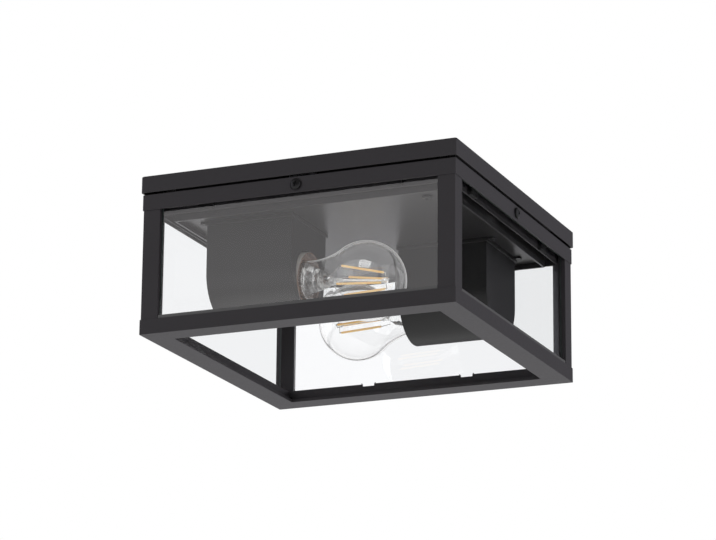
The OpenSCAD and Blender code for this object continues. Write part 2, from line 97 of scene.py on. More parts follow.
MM = 0.001
WELD = 2e-6
FULL_TURN = 2 * math.pi
NEAR_STRAIGHT = 0.02
MOST_OF_A_SIDE = 0.48
THREAD_PITCH = 3.6

Object = bpy.types.Object
Outline = list[tuple[float, float]]
Colour = tuple[float, float, float, float]


def quarter_turns(count: int) -> Matrix:
    """Turn about the vertical axis by so many right angles."""
    return Matrix.Rotation(math.radians(90 * count), 4, "Z")


class Side(Enum):
    """Sides of the lantern, each with its quarter turns from +X."""

    RIGHT = 0
    BACK = 1
    LEFT = 2
    FRONT = 3

    @property
    def turn(self) -> Matrix:
        """Turn that brings a shape from the right-hand side to this one."""
        return quarter_turns(self.value)


class Corner(Enum):
    """Corners of the lantern, each with its quarter turns from the one between +X and +Y."""

    BACK_RIGHT = 0
    BACK_LEFT = 1
    FRONT_LEFT = 2
    FRONT_RIGHT = 3

    @property
    def turn(self) -> Matrix:
        """Turn that brings a shape from the back right corner to this one."""
        return quarter_turns(self.value)


class Body(Enum):
    """CAD bodies that a piece can ride on."""

    LANTERN = "lantern"
    FRONT_BULB = "front_bulb"
    REAR_BULB = "rear_bulb"


class Element(Enum):
    """Kinds of mesh element that can be picked."""

    VERT = "verts"
    EDGE = "edges"
    FACE = "faces"


# ---- shader sockets ----


class Wire:
    """An output socket on which Python's operators add Math nodes."""

    def __init__(self, recipe: Recipe, socket: bpy.types.NodeSocket) -> None:
        """Wraps a socket of the recipe's node tree."""
        self.recipe = recipe
        self.socket = socket

    def _math(self, operation: str, first: Wire | float, second: Wire | float) -> Wire:
        """Adds one Math node that works on the two values."""
        return self.recipe.add("ShaderNodeMath", {0: first, 1: second}, {"operation": operation})

    def __add__(self, other: Wire | float) -> Wire:
        """self + other"""
        return self._math("ADD", self, other)

    def __sub__(self, other: Wire | float) -> Wire:
        """self - other"""
        return self._math("SUBTRACT", self, other)

    def __rsub__(self, other: Wire | float) -> Wire:
        """other - self"""
        return self._math("SUBTRACT", other, self)

    def __mul__(self, other: Wire | float) -> Wire:
        """self * other"""
        return self._math("MULTIPLY", self, other)

    def __pow__(self, other: Wire | float) -> Wire:
        """self ** other"""
        return self._math("POWER", self, other)

    def __abs__(self) -> Wire:
        """abs(self)"""
        return self._math("ABSOLUTE", self, 0.0)

    def above(self, limit: float) -> Wire:
        """1 where the value is over the limit, and 0 elsewhere."""
        return self._math("GREATER_THAN", self, limit)

    def least(self, other: Wire | float) -> Wire:
        """The smaller of two values."""
        return self._math("MINIMUM", self, other)

    def most(self, other: Wire | float) -> Wire:
        """The larger of two values."""
        return self._math("MAXIMUM", self, other)


class Recipe:
    """Node tree of one material or world, with the steps that the finishes share."""

    def __init__(self, tree: bpy.types.NodeTree) -> None:
        """Starts from an empty tree."""
        self.tree = tree
        tree.nodes.clear()

    @classmethod
    def material(cls, name: str) -> tuple[bpy.types.Material, Recipe]:
        """A new material and the recipe that fills it."""
        made = bpy.data.materials.new(name)
        made.use_nodes = True
        return made, cls(made.node_tree)

    def node(self, kind: str, values: dict[str | int, object] | None = None,
             settings: dict[str, object] | None = None) -> bpy.types.Node:
        """Adds one node.

        Args:
            kind: the node's type.
            values: for each input, by name or place, a link or a constant.
            settings: its properties, set first.

        Returns:
            The node.
        """
        made = self.tree.nodes.new(kind)
        for name, setting in (settings or {}).items():
            setattr(made, name, setting)
        for key, value in (values or {}).items():
            if isinstance(value, Wire):
                self.tree.links.new(value.socket, made.inputs[key])
            else:
                made.inputs[key].default_value = value
        return made

    def out(self, node: bpy.types.Node, name: str | int = 0) -> Wire:
        """One output of a node."""
        return Wire(self, node.outputs[name])

    def add(self, kind: str, values: dict[str | int, object] | None = None,
            settings: dict[str, object] | None = None, name: str | int = 0) -> Wire:
        """One output of a new node, made like node()."""
        return self.out(self.node(kind, values, settings), name)

    def place(self, where: str = "Object") -> Wire:
        """The point's coordinates."""
        return self.add("ShaderNodeTexCoord", name=where)

    def split(self, vector: Wire) -> tuple[Wire, Wire, Wire]:
        """The three parts of a vector."""
        node = self.node("ShaderNodeSeparateXYZ", {0: vector})
        return self.out(node, 0), self.out(node, 1), self.out(node, 2)

    def noise(self, size: float, detail: float = 3.0) -> Wire:
        """Noise from 0 to 1 over the object.

        Args:
            size: width of its grains in millimetres.
            detail: how many finer layers it has.

        Returns:
            The noise value.
        """
        values = {"Vector": self.place(), "Scale": 1 / (size * MM), "Detail": detail}
        return self.add("ShaderNodeTexNoise", values, name="Fac")

    def blend(self, factor: Wire | float, first: object, second: object) -> Wire:
        """Colour that goes from the first to the second as factor goes from 0 to 1."""
        values = {"Factor": factor, 6: first, 7: second}
        return self.add("ShaderNodeMix", values, {"data_type": "RGBA"}, 2)

    def ease(self, value: Wire, low: float, high: float) -> Wire:
        """Smooth step from 0 at low to 1 at high."""
        values = {"Value": value, "From Min": low, "From Max": high}
        return self.add("ShaderNodeMapRange", values, {"interpolation_type": "SMOOTHSTEP"})

    def bump(self, height: Wire, depth: float, strength: float = 1.0) -> Wire:
        """Bump of the given depth in millimetres."""
        values = {"Height": height, "Distance": depth * MM, "Strength": strength}
        return self.add("ShaderNodeBump", values, name="Normal")

    def principled(self, values: dict[str | int, object]) -> Wire:
        """A Principled BSDF."""
        return self.add("ShaderNodeBsdfPrincipled", values)

    def mix_shaders(self, factor: Wire, first: Wire, second: Wire) -> Wire:
        """Shader that goes from the first to the second as factor goes from 0 to 1."""
        return self.add("ShaderNodeMixShader", {0: factor, 1: first, 2: second})

    def dot(self, vector: Wire, axis: tuple[float, float, float]) -> Wire:
        """Dot product of a vector and an axis."""
        return self.add("ShaderNodeVectorMath", {0: vector, 1: axis}, {"operation": "DOT_PRODUCT"}, "Value")

    def finish(self, shader: Wire) -> None:
        """Joins the shader to the material's output."""
        self.node("ShaderNodeOutputMaterial", {"Surface": shader})


def grey(level: float, warmth: float = 0.0) -> Colour:
    """Near-neutral colour. Warmth over 0 adds red and takes blue."""
    return level * (1 + warmth), level, level * (1 - warmth), 1.0


# ---- finishes ----


@dataclass(frozen=True)
class Finish:
    """One material, named by the record's slot. Each kind of finish gives its own shader."""

    slot: str

    def build(self) -> bpy.types.Material:
        """Makes the material."""
        made, recipe = Recipe.material(self.slot)
        recipe.finish(self.shader(recipe))
        return made

    def shader(self, recipe: Recipe) -> Wire:
        """The finish's shader in the recipe's tree."""
        raise NotImplementedError


@dataclass(frozen=True)
class PowderCoat(Finish):
    """Matt black powder coat on sheet steel: fine grain over a wavy skin, a touch of violet in it."""

    slot: str = "black_metal"
    dark: Colour = (0.0225, 0.0205, 0.0225, 1.0)
    light: Colour = (0.0325, 0.0295, 0.0325, 1.0)
    roughness: float = 0.52
    grain: float = 0.45
    grain_depth: float = 0.012
    skin: float = 1.7
    skin_depth: float = 0.03

    def shader(self, recipe: Recipe) -> Wire:
        """The finish's shader in the recipe's tree."""
        grain = recipe.noise(self.grain, 2.0)
        skin = recipe.noise(self.skin, 2.0)
        cloud = recipe.noise(38.0, 3.0)
        height = grain + skin * (self.skin_depth / self.grain_depth)
        return recipe.principled({
            "Base Color": recipe.blend(cloud * 0.3 + skin * 0.5 + grain * 0.2, self.dark, self.light),
            "Roughness": grain * 0.1 + skin * 0.14 + (self.roughness - 0.12),
            "Normal": recipe.bump(height, self.grain_depth, 0.8),
        })


@dataclass(frozen=True)
class ScrewBlack(Finish):
    """Black zinc on a screw: satin, with faint turning marks."""

    slot: str = "black_screw"

    def shader(self, recipe: Recipe) -> Wire:
        """The finish's shader in the recipe's tree."""
        mottle = recipe.noise(0.6, 3.0)
        return recipe.principled({
            "Base Color": recipe.blend(mottle, grey(0.012), grey(0.03)),
            "Metallic": 0.6,
            "Roughness": mottle * 0.2 + 0.26,
            "Normal": recipe.bump(mottle, 0.01),
        })


@dataclass(frozen=True)
class ZincSteel(Finish):
    """Bright zinc plate: small crystals, rolled grain and dull patches."""

    slot: str = "zinc_steel"

    def shader(self, recipe: Recipe) -> Wire:
        """The finish's shader in the recipe's tree."""
        crystals = {"Vector": recipe.place(), "Scale": 320.0}
        colours = recipe.add("ShaderNodeTexVoronoi", crystals, name="Color")
        cell = recipe.add("ShaderNodeSeparateColor", {0: colours})
        patch = recipe.noise(9.0, 4.0)
        return recipe.principled({
            "Base Color": recipe.blend(cell * 0.5 + patch * 0.5, grey(0.42), grey(0.7, -0.01)),
            "Metallic": 1.0,
            "Roughness": cell * 0.14 + patch * 0.2 + 0.18,
            "Normal": recipe.bump(patch, 0.02),
        })


@dataclass(frozen=True)
class Moulded(Finish):
    """Moulded plastic or rubber: spark-eroded grain and slow changes of shade."""

    dark: Colour
    light: Colour
    roughness: float
    grain: float = 0.35
    grain_depth: float = 0.012

    def shader(self, recipe: Recipe) -> Wire:
        """The finish's shader in the recipe's tree."""
        grain = recipe.noise(self.grain, 2.0)
        cloud = recipe.noise(30.0, 3.0)
        return recipe.principled({
            "Base Color": recipe.blend(cloud * 0.9 + grain * 0.1, self.dark, self.light),
            "Roughness": cloud * 0.1 + (self.roughness - 0.05),
            "Normal": recipe.bump(grain, self.grain_depth),
        })


@dataclass(frozen=True)
class Brass(Finish):
    """Drawn brass or copper-coloured sheet with die marks and a thin tarnish."""

    bright: Colour
    tarnish: Colour

    def shader(self, recipe: Recipe) -> Wire:
        """The finish's shader in the recipe's tree."""
        stain = recipe.noise(5.0, 5.0)
        marks = recipe.noise(0.5, 2.0)
        return recipe.principled({
            "Base Color": recipe.blend(stain, self.bright, self.tarnish),
            "Metallic": 1.0,
            "Roughness": stain * 0.2 + marks * 0.1 + 0.16,
            "Normal": recipe.bump(marks, 0.006),
        })


@dataclass(frozen=True)
class CapMetal(Finish):
    """Nickelled cap of a lamp: rolled, satin, with faint rings."""

    slot: str = "bulb_cap_metal"

    def shader(self, recipe: Recipe) -> Wire:
        """The finish's shader in the recipe's tree."""
        marks = recipe.noise(0.7, 3.0)
        return recipe.principled({
            "Base Color": recipe.blend(marks, grey(0.58, 0.02), grey(0.72, 0.02)),
            "Metallic": 1.0,
            "Roughness": marks * 0.12 + 0.2,
            "Normal": recipe.bump(marks, 0.008),
        })


@dataclass(frozen=True)
class CeramicGlaze(Finish):
    """Cream glaze over a ceramic body, bare brown in the mouth, with iron specks and a soft skin."""

    slot: str = "holder_ceramic"
    axis_y: float = 56.0
    axis_z: float = -73.4
    brown_r: float = 20.7

    def shader(self, recipe: Recipe) -> Wire:
        """The finish's shader in the recipe's tree."""
        specks = recipe.noise(0.7, 1.0).above(0.74)
        cloud = recipe.noise(12.0, 3.0)
        _, y, z = recipe.split(recipe.place())
        reach = ((abs(y) - self.axis_y * MM) ** 2 + (z - self.axis_z * MM) ** 2) ** 0.5
        brown = recipe.blend(cloud, (0.15, 0.085, 0.055, 1.0), (0.3, 0.18, 0.12, 1.0))
        cream = recipe.blend(cloud, (0.72, 0.68, 0.62, 1.0), (0.82, 0.79, 0.74, 1.0))
        glaze = recipe.blend(recipe.ease(reach, self.brown_r * MM, (self.brown_r + 0.5) * MM), brown, cream)
        return recipe.principled({
            "Base Color": recipe.blend(specks * 0.35, glaze, (0.3, 0.2, 0.12, 1.0)),
            "Roughness": cloud * 0.1 + 0.2,
            "Coat Weight": 0.6,
            "Coat Roughness": 0.06,
            "Normal": recipe.bump(cloud, 0.12),
        })


@dataclass(frozen=True)
class Phosphor(Finish):
    """Amber phosphor coat of a filament: chips show as a fine row of grains, under a faint painted glow."""

    slot: str = "filament_phosphor"

    def shader(self, recipe: Recipe) -> Wire:
        """The finish's shader in the recipe's tree."""
        grains = recipe.noise(0.9, 2.0)
        colour = recipe.blend(grains, (0.86, 0.5, 0.15, 1.0), (0.95, 0.68, 0.3, 1.0))
        return recipe.principled({
            "Base Color": colour,
            "Roughness": grains * 0.2 + 0.3,
            "Subsurface Weight": 0.3,
            "Subsurface Scale": 0.001,
            # The emission is a painted glow that makes the filaments look brighter.
            "Emission Color": colour,
            "Emission Strength": 0.32,
            "Normal": recipe.bump(grains, 0.03),
        })


@dataclass(frozen=True)
class ClearGlass(Finish):
    """Clear glass that lets the lamps' light through, so that what it shuts in is lit. Its rims, and the
    stem's far part, carry a painted highlight: a white shader that glows.
    """

    tint: Colour
    ripple: float
    ripple_size: float
    # The next four set painted light: a white glow over the glass past a point along the lamp and where it
    # starts, a highlight at the silhouette, and the emission strength of both.
    painted_glow_far: float
    painted_glow_from: float = -2.0
    rim: float = 0.75
    painted_glow_strength: float = 0.4
    ior: float = 1.5

    def shader(self, recipe: Recipe) -> Wire:
        """The finish's shader in the recipe's tree."""
        wave = recipe.noise(self.ripple_size, 1.0)
        glass = recipe.principled({
            "Base Color": self.tint,
            "Roughness": 0.0,
            "IOR": self.ior,
            "Transmission Weight": 1.0,
            "Normal": recipe.bump(wave, self.ripple),
        })
        # Painted highlight: towards the silhouette, and past painted_glow_from along the lamp, the glass
        # gives way to a white shader that glows.
        facing = recipe.add("ShaderNodeLayerWeight", {"Blend": 0.5}, name="Facing")
        x, y, _ = recipe.split(recipe.place())
        along = x * (1 - y.above(0.0) * 2)
        painted_glow_far = recipe.ease(along, self.painted_glow_from * MM, (self.painted_glow_from + 3) * MM) * self.painted_glow_far
        painted_glow_mask = recipe.ease(facing, 0.7, 0.87) * self.rim + painted_glow_far
        # The white, self-lit shader of the painted highlight.
        bright = recipe.principled({"Base Color": grey(0.9), "Roughness": 0.3,
                                    "Emission Color": grey(1.0), "Emission Strength": self.painted_glow_strength})
        glass = recipe.mix_shaders(painted_glow_mask, glass, bright)
        clear = recipe.add("ShaderNodeBsdfTransparent", {"Color": self.tint})
        shadow = recipe.add("ShaderNodeLightPath", name="Is Shadow Ray")
        return recipe.mix_shaders(shadow, glass, clear)


@dataclass(frozen=True)
class PaneGlass(Finish):
    """Clear float glass with a thin, even gloss and dull ground edges. Lamps shine through it."""

    slot: str = "pane_glass"
    tint: Colour = (0.998, 1.0, 0.999, 1.0)
    ior: float = 1.5
    gloss: float = 0.087
    half_width: float = 110.3
    low: float = -120.7
    top: float = -23.8

    def shader(self, recipe: Recipe) -> Wire:
        """The finish's shader in the recipe's tree."""
        bending = {"Color": self.tint, "Roughness": 0.0, "IOR": self.ior}
        bent = recipe.add("ShaderNodeBsdfRefraction", bending)
        shine = recipe.add("ShaderNodeBsdfAnisotropic", {"Color": grey(1.0), "Roughness": 0.0})
        clear = recipe.add("ShaderNodeBsdfTransparent", {"Color": self.tint})
        path = recipe.node("ShaderNodeLightPath")
        later = recipe.out(path, "Diffuse Depth").most(recipe.out(path, "Glossy Depth")).above(0.5)
        straight = recipe.out(path, "Is Shadow Ray").most(later)
        glance = recipe.add("ShaderNodeFresnel", {"IOR": self.ior}) * 2
        inside = recipe.add("ShaderNodeNewGeometry", name="Backfacing")
        glance = glance.least(self.gloss) * (1 - inside)
        glass = recipe.mix_shaders(glance, recipe.mix_shaders(straight, bent, clear), shine)
        edge = recipe.principled({"Base Color": (0.03, 0.045, 0.04, 1.0), "Roughness": 0.5})
        return recipe.mix_shaders(self.ground(recipe), glass, edge)

    def ground(self, recipe: Recipe) -> Wire:
        """1 on the ground edges, and 0 on the clear faces."""
        x, y, z = recipe.split(recipe.place())
        side = abs(x).least(abs(y)).above(self.half_width * MM)
        return side.most(z.above(self.top * MM)).most(1 - z.above(self.low * MM))


class Palette:
    """Every finish of the lantern, made once and found by the record's slot name."""

    def __init__(self) -> None:
        """Makes the materials."""
        finishes = [
            PowderCoat(),
            PowderCoat("plate_metal", (0.026, 0.025, 0.026, 1.0), (0.034, 0.033, 0.034, 1.0), 0.36,
                       grain_depth=0.006),
            ScrewBlack(),
            ZincSteel(),
            Moulded("bush_rubber", grey(0.012), grey(0.02), 0.6),
            Brass("earth_brass", (0.78, 0.6, 0.3, 1.0), (0.5, 0.36, 0.16, 1.0)),
            Moulded("terminal_plastic", grey(0.66, 0.03), grey(0.74, 0.03), 0.42),
            Moulded("lead_sleeve", grey(0.6, 0.06), grey(0.68, 0.06), 0.5, 0.8),
            PaneGlass(),
            Moulded("pad_rubber", grey(0.003), grey(0.005), 0.9),
            Moulded("seal_rubber", grey(0.085), grey(0.11), 0.6),
            Moulded("cover_plastic", grey(0.006, 0.0003), grey(0.01, 0.0003), 0.5, grain_depth=0.001),
            CeramicGlaze(),
            Brass("shell_brass", (0.8, 0.46, 0.24, 1.0), (0.5, 0.26, 0.13, 1.0)),
            # Both glasses carry the painted rim highlight. The stem's 0.15 is a painted white glow on its far
            # part.
            ClearGlass("bulb_glass", (0.99, 0.99, 0.99, 1.0), 0.05, 14.0, 0.0),
            CapMetal(),
            ClearGlass("bulb_stem_glass", (0.97, 0.98, 0.98, 1.0), 0.25, 2.5, 0.15, rim=0.1),
            Phosphor(),
        ]
        self.materials = {finish.slot: finish.build() for finish in finishes}

    def dress(self, obj: Object, slot: str) -> None:
        """Gives the whole object the material of that slot."""
        obj.data.materials.clear()
        obj.data.materials.append(self.materials[slot])


# ---- modelling steps ----


def rounded(corners: Outline, radius: float, steps: int = 3, closed: bool = True) -> Outline:
    """Rounds the corners of an outline.

    Args:
        corners: the outline's sharp corners.
        radius: the wanted radius, which a short side makes smaller.
        steps: straight pieces in each arc.
        closed: whether the last corner joins the first.

    Returns:
        The outline with an arc at each corner.
    """
    made: Outline = []
    count = len(corners)
    for i, corner in enumerate(corners):
        if not closed and i in (0, count - 1):
            made.append(corner)
            continue
        here = Vector(corner)
        to_last = Vector(corners[i - 1]) - here
        to_next = Vector(corners[(i + 1) % count]) - here
        half = to_last.angle(to_next) / 2
        if math.pi / 2 - half < NEAR_STRAIGHT:
            made.append(corner)
            continue
        room = MOST_OF_A_SIDE * min(to_last.length, to_next.length)
        cut = min(radius / math.tan(half), room)
        arc_r = cut * math.tan(half)
        start = here + to_last.normalized() * cut
        end = here + to_next.normalized() * cut
        centre = here + (to_last.normalized() + to_next.normalized()).normalized() * (arc_r / math.sin(half))
        first = start - centre
        sweep = first.angle_signed(end - centre)
        for step in range(steps + 1):
            point = centre + Matrix.Rotation(-sweep * step / steps, 2) @ first
            made.append((point.x, point.y))
    return made


class Bench:
    """The workshop's modelling steps, by hand tools and modifiers. Sizes are in millimetres."""

    @staticmethod
    def only(obj: Object) -> None:
        """Makes the object the one that is selected and active."""
        bpy.ops.object.select_all(action="DESELECT")
        obj.select_set(True)
        bpy.context.view_layer.objects.active = obj

    @classmethod
    @contextmanager
    def editing(cls, obj: Object) -> Iterator[None]:
        """Edit mode on the object, with everything selected."""
        cls.only(obj)
        bpy.ops.object.mode_set(mode="EDIT")
        bpy.ops.mesh.select_mode(type="VERT")
        bpy.ops.mesh.select_all(action="SELECT")
        yield
        bpy.ops.object.mode_set(mode="OBJECT")

    @staticmethod
    def pick(obj: Object, kind: Element, test: Callable[[object], bool]) -> int:
        """Selects the elements that pass the test, in edit mode.

        Args:
            obj: the object in edit mode.
            kind: what to select.
            test: takes a bmesh element.

        Returns:
            How many were selected.
        """
        bpy.ops.mesh.select_all(action="DESELECT")
        bpy.ops.mesh.select_mode(type=kind.name)
        mesh = bmesh.from_edit_mesh(obj.data)
        found = [element for element in getattr(mesh, kind.value) if test(element)]
        for element in found:
            element.select_set(True)
        mesh.select_flush_mode()
        bmesh.update_edit_mesh(obj.data)
        return len(found)

    @staticmethod
    def named(name: str) -> Object:
        """Names the object that an operator has just added."""
        obj = bpy.context.active_object
        obj.name = name
        obj.data.name = name
        return obj

    @classmethod
    def plate(cls, name: str, size: float) -> Object:
        """Square plate at the origin, from which rings and prisms start."""
        bpy.ops.object.select_all(action="DESELECT")
        bpy.ops.mesh.primitive_plane_add(size=size * MM)
        return cls.named(name)

    @classmethod
    def settle(cls, obj: Object) -> None:
        """Merges doubles and turns the faces outwards, in edit mode."""
        bpy.ops.mesh.select_mode(type="VERT")
        bpy.ops.mesh.select_all(action="SELECT")
        bpy.ops.mesh.remove_doubles(threshold=WELD)
        bpy.ops.mesh.normals_make_consistent(inside=False)

    @classmethod
    def chain(cls, name: str, points: list[Vector], closed: bool) -> Object:
        """Wire drawn from point to point by extruding one vertex."""
        obj = cls.plate(name, 1.0)
        with cls.editing(obj):
            bpy.ops.mesh.merge(type="CENTER")
            bpy.ops.transform.translate(value=points[0] * MM)
            path = points + points[:1] if closed else points
            for here, there in zip(path, path[1:]):
                bpy.ops.mesh.extrude_region_move(TRANSFORM_OT_translate={"value": (there - here) * MM})
            bpy.ops.mesh.select_all(action="SELECT")
            bpy.ops.mesh.remove_doubles(threshold=WELD)
        return obj

    @classmethod
    def prism(cls, name: str, outline: Outline, start: float, end: float,
              axis: str = "Z", sunk: float = 0.0) -> Object:
        """Outline extruded along an axis.

        Args:
            name: the object's name.
            outline: (x, y) pairs for Z, (x, z) pairs for Y, (y, z) pairs for X.
            start: where the prism starts on the axis.
            end: where it ends.
            axis: X, Y or Z.
            sunk: how far both end faces are drawn in to make a chamfer.

        Returns:
            The closed prism.
        """
        along = {"X": Vector((1, 0, 0)), "Y": Vector((0, 1, 0)), "Z": Vector((0, 0, 1))}[axis]
        spot = {
            "X": lambda a, b: Vector((start, a, b)),
            "Y": lambda a, b: Vector((a, start, b)),
            "Z": lambda a, b: Vector((a, b, start)),
        }[axis]
        obj = cls.chain(name, [spot(a, b) for a, b in outline], closed=True)
        with cls.editing(obj):
            bpy.ops.mesh.edge_face_add()
            bpy.ops.mesh.extrude_region_move(TRANSFORM_OT_translate={"value": along * (end - start) * MM})
            cls.settle(obj)
            if sunk:
                cls.pick(obj, Element.FACE, lambda face: abs(face.normal.dot(along)) > 0.99)
                bpy.ops.mesh.bevel(offset=sunk * MM, segments=2, affect="EDGES")
        return obj

    @classmethod
    def ring(cls, name: str, outline: Outline, corner_r: float, steps: int = 6, lid: bool = False) -> Object:
        """Square ring or tray with round corners, drawn from one square loop to the next.

        Args:
            name: the object's name.
            outline: (distance from the centre, height) of each loop.
            corner_r: corner radius of the first loop.
            steps: straight pieces in each corner.
            lid: True to close the first and the last loop with a face each, False to join them.

        Returns:
            The closed ring or tray.
        """
        (u, z), *_ = outline
        obj = cls.plate(name, 2 * u)
        with cls.editing(obj):
            bpy.ops.mesh.bevel(offset=corner_r * MM, segments=steps, affect="VERTICES")
            bpy.ops.mesh.select_all(action="SELECT")
            bpy.ops.mesh.delete(type="ONLY_FACE")
            bpy.ops.mesh.select_all(action="SELECT")
            bpy.ops.transform.translate(value=(0, 0, z * MM))
            loops = outline if lid else outline + outline[:1]
            for (u0, z0), (u1, z1) in zip(loops, loops[1:]):
                bpy.ops.mesh.extrude_region_move(TRANSFORM_OT_translate={"value": (0, 0, (z1 - z0) * MM)})
                bpy.ops.transform.resize(value=(u1 / u0, u1 / u0, 1), center_override=(0, 0, 0))
            if lid:
                bpy.ops.mesh.edge_face_add()
                cls.pick(obj, Element.EDGE, lambda edge: edge.is_boundary)
                bpy.ops.mesh.edge_face_add()
            cls.settle(obj)
        return obj

    @classmethod
    def lathe(cls, name: str, outline: Outline, turns: int = 64, closed: bool = False) -> Object:
        """Outline of (radius, x) pairs spun round the X axis.

        Args:
            name: the object's name.
            outline: the half section, from one end on the axis to the other, or a closed section.
            turns: steps in the full turn.
            closed: whether the section closes on itself.

        Returns:
            The closed shape.
        """
        obj = cls.chain(name, [Vector((x, 0, r)) for r, x in outline], closed)
        with cls.editing(obj):
            bpy.ops.mesh.spin(steps=turns, angle=FULL_TURN, center=(0, 0, 0), axis=(1, 0, 0))
            cls.settle(obj)
        return obj

    @classmethod
    def modify(cls, obj: Object, kind: str, **settings: object) -> None:
        """Adds a modifier with these settings and applies it."""
        cls.only(obj)
        bpy.ops.object.modifier_add(type=kind)
        modifier = obj.modifiers[-1]
        for name, setting in settings.items():
            setattr(modifier, name, setting)
        bpy.ops.object.modifier_apply(modifier=modifier.name)

    @classmethod
    def soften(cls, obj: Object, width: float, segments: int = 2, angle: float = 40) -> None:
        """Rounds the edges that are sharper than the angle."""
        cls.modify(obj, "BEVEL", width=width * MM, segments=segments, limit_method="ANGLE",
                   angle_limit=math.radians(angle), use_clamp_overlap=True)

    @classmethod
    def smooth(cls, obj: Object, angle: float = 50) -> None:
        """Smooth shading up to the angle, with flat faces kept flat."""
        cls.only(obj)
        bpy.ops.object.shade_smooth_by_angle(angle=math.radians(angle))
        cls.modify(obj, "WEIGHTED_NORMAL", keep_sharp=True)

    @classmethod
    def place(cls, obj: Object, frame: Matrix) -> Object:
        """Moves the object by the frame and leaves the place in its mesh."""
        cls.only(obj)
        obj.matrix_world = frame @ obj.matrix_world
        bpy.ops.object.transform_apply(location=True, rotation=True, scale=True)
        return obj

    @classmethod
    def copy(cls, obj: Object, name: str) -> Object:
        """A copy with its own mesh."""
        cls.only(obj)
        bpy.ops.object.duplicate(linked=False)
        return cls.named(name)

    @classmethod
    def join(cls, name: str, objects: list[Object]) -> Object:
        """Makes one object of several."""
        cls.only(objects[0])
        for obj in objects:
            obj.select_set(True)
        bpy.ops.object.join()
        return cls.named(name)

    @classmethod
    def cut(cls, obj: Object, tool: Object) -> None:
        """Takes the tool's shape out of the object, and the tool away."""
        cls.modify(obj, "BOOLEAN", operation="DIFFERENCE", solver="EXACT", object=tool)
        bpy.data.objects.remove(tool)

    @classmethod
    def slice(cls, obj: Object, normal: Vector) -> None:
        """Cuts away what lies on the normal's side of a plane through the Z axis, and closes the cut."""
        with cls.editing(obj):
            bpy.ops.mesh.bisect(plane_co=(0, 0, 0), plane_no=normal, use_fill=True, clear_outer=True,
                                threshold=WELD)

    @classmethod
    def from_node(cls, node: Object, name: str) -> Object:
        """Merged copy of a CAD node's mesh, with flat faces in one piece."""
        made = node.copy()
        made.data = node.data.copy()
        for key in list(made.keys()):
            del made[key]
        bpy.context.collection.objects.link(made)
        made.parent = None
        made.matrix_world = Matrix.Identity(4)
        cls.only(made)
        with cls.editing(made):
            bpy.ops.mesh.remove_doubles(threshold=WELD)
            bpy.ops.mesh.dissolve_limited(angle_limit=math.radians(1))
            bpy.ops.mesh.normals_make_consistent(inside=False)
        return cls.named(name)

    @classmethod
    def bar(cls, name: str, start: Vector, end: Vector, radius: float, sides: int = 16) -> Object:
        """Round bar with eased ends between two points."""
        run = end - start
        ease = min(radius * 0.3, 0.3)
        obj = cls.lathe(name, [(0, 0), (radius - ease, 0), (radius, ease), (radius, run.length - ease),
                               (radius - ease, run.length), (0, run.length)], sides)
        turn = Vector((1, 0, 0)).rotation_difference(run).to_matrix().to_4x4()
        return cls.place(obj, Matrix.Translation(start * MM) @ turn)


class Lantern:
    """Holds the frame and the palette, and records each finished piece."""

    def __init__(self) -> None:
        """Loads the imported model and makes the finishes."""
        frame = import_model()
        self.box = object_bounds()
        self.nodes: dict[str, Object] = frame["nodes"]
        self.slots = {part["node"]: part["material_slot"] for part in frame["record"]["subparts"]}
        self.palette = Palette()
        self.dressed: set[str] = set()

    def add(self, obj: Object, slot: str, *nodes: str, body: Body = Body.LANTERN) -> Object:
        """Dresses a finished piece and ties it to its body.

        Args:
            obj: the piece, with its place in its mesh.
            slot: the record's material slot.
            nodes: CAD nodes that it stands for.
            body: the CAD body that it moves with.

        Returns:
            The piece.
        """
        self.palette.dress(obj, slot)
        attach(obj, body.value)
        if nodes:
            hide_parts(*nodes)
            self.dressed.update(nodes)
        log.info("%s: %d faces, %s, for %s", obj.name, len(obj.data.polygons), slot, ", ".join(nodes) or "-")
        return obj

    def soften_node(self, node: str, slot: str, width: float, body: Body = Body.LANTERN,
                    angle: float = 40) -> Object:
        """Replaces a CAD node by a copy with rounded edges."""
        obj = Bench.from_node(self.nodes[node], f"{node}_eased")
        Bench.soften(obj, width, angle=angle)
        Bench.smooth(obj)
        return self.add(obj, slot, node, body=body)

    def close(self) -> None:
        """Updates the view layer."""
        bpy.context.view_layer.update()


# ---- sub-assemblies ----


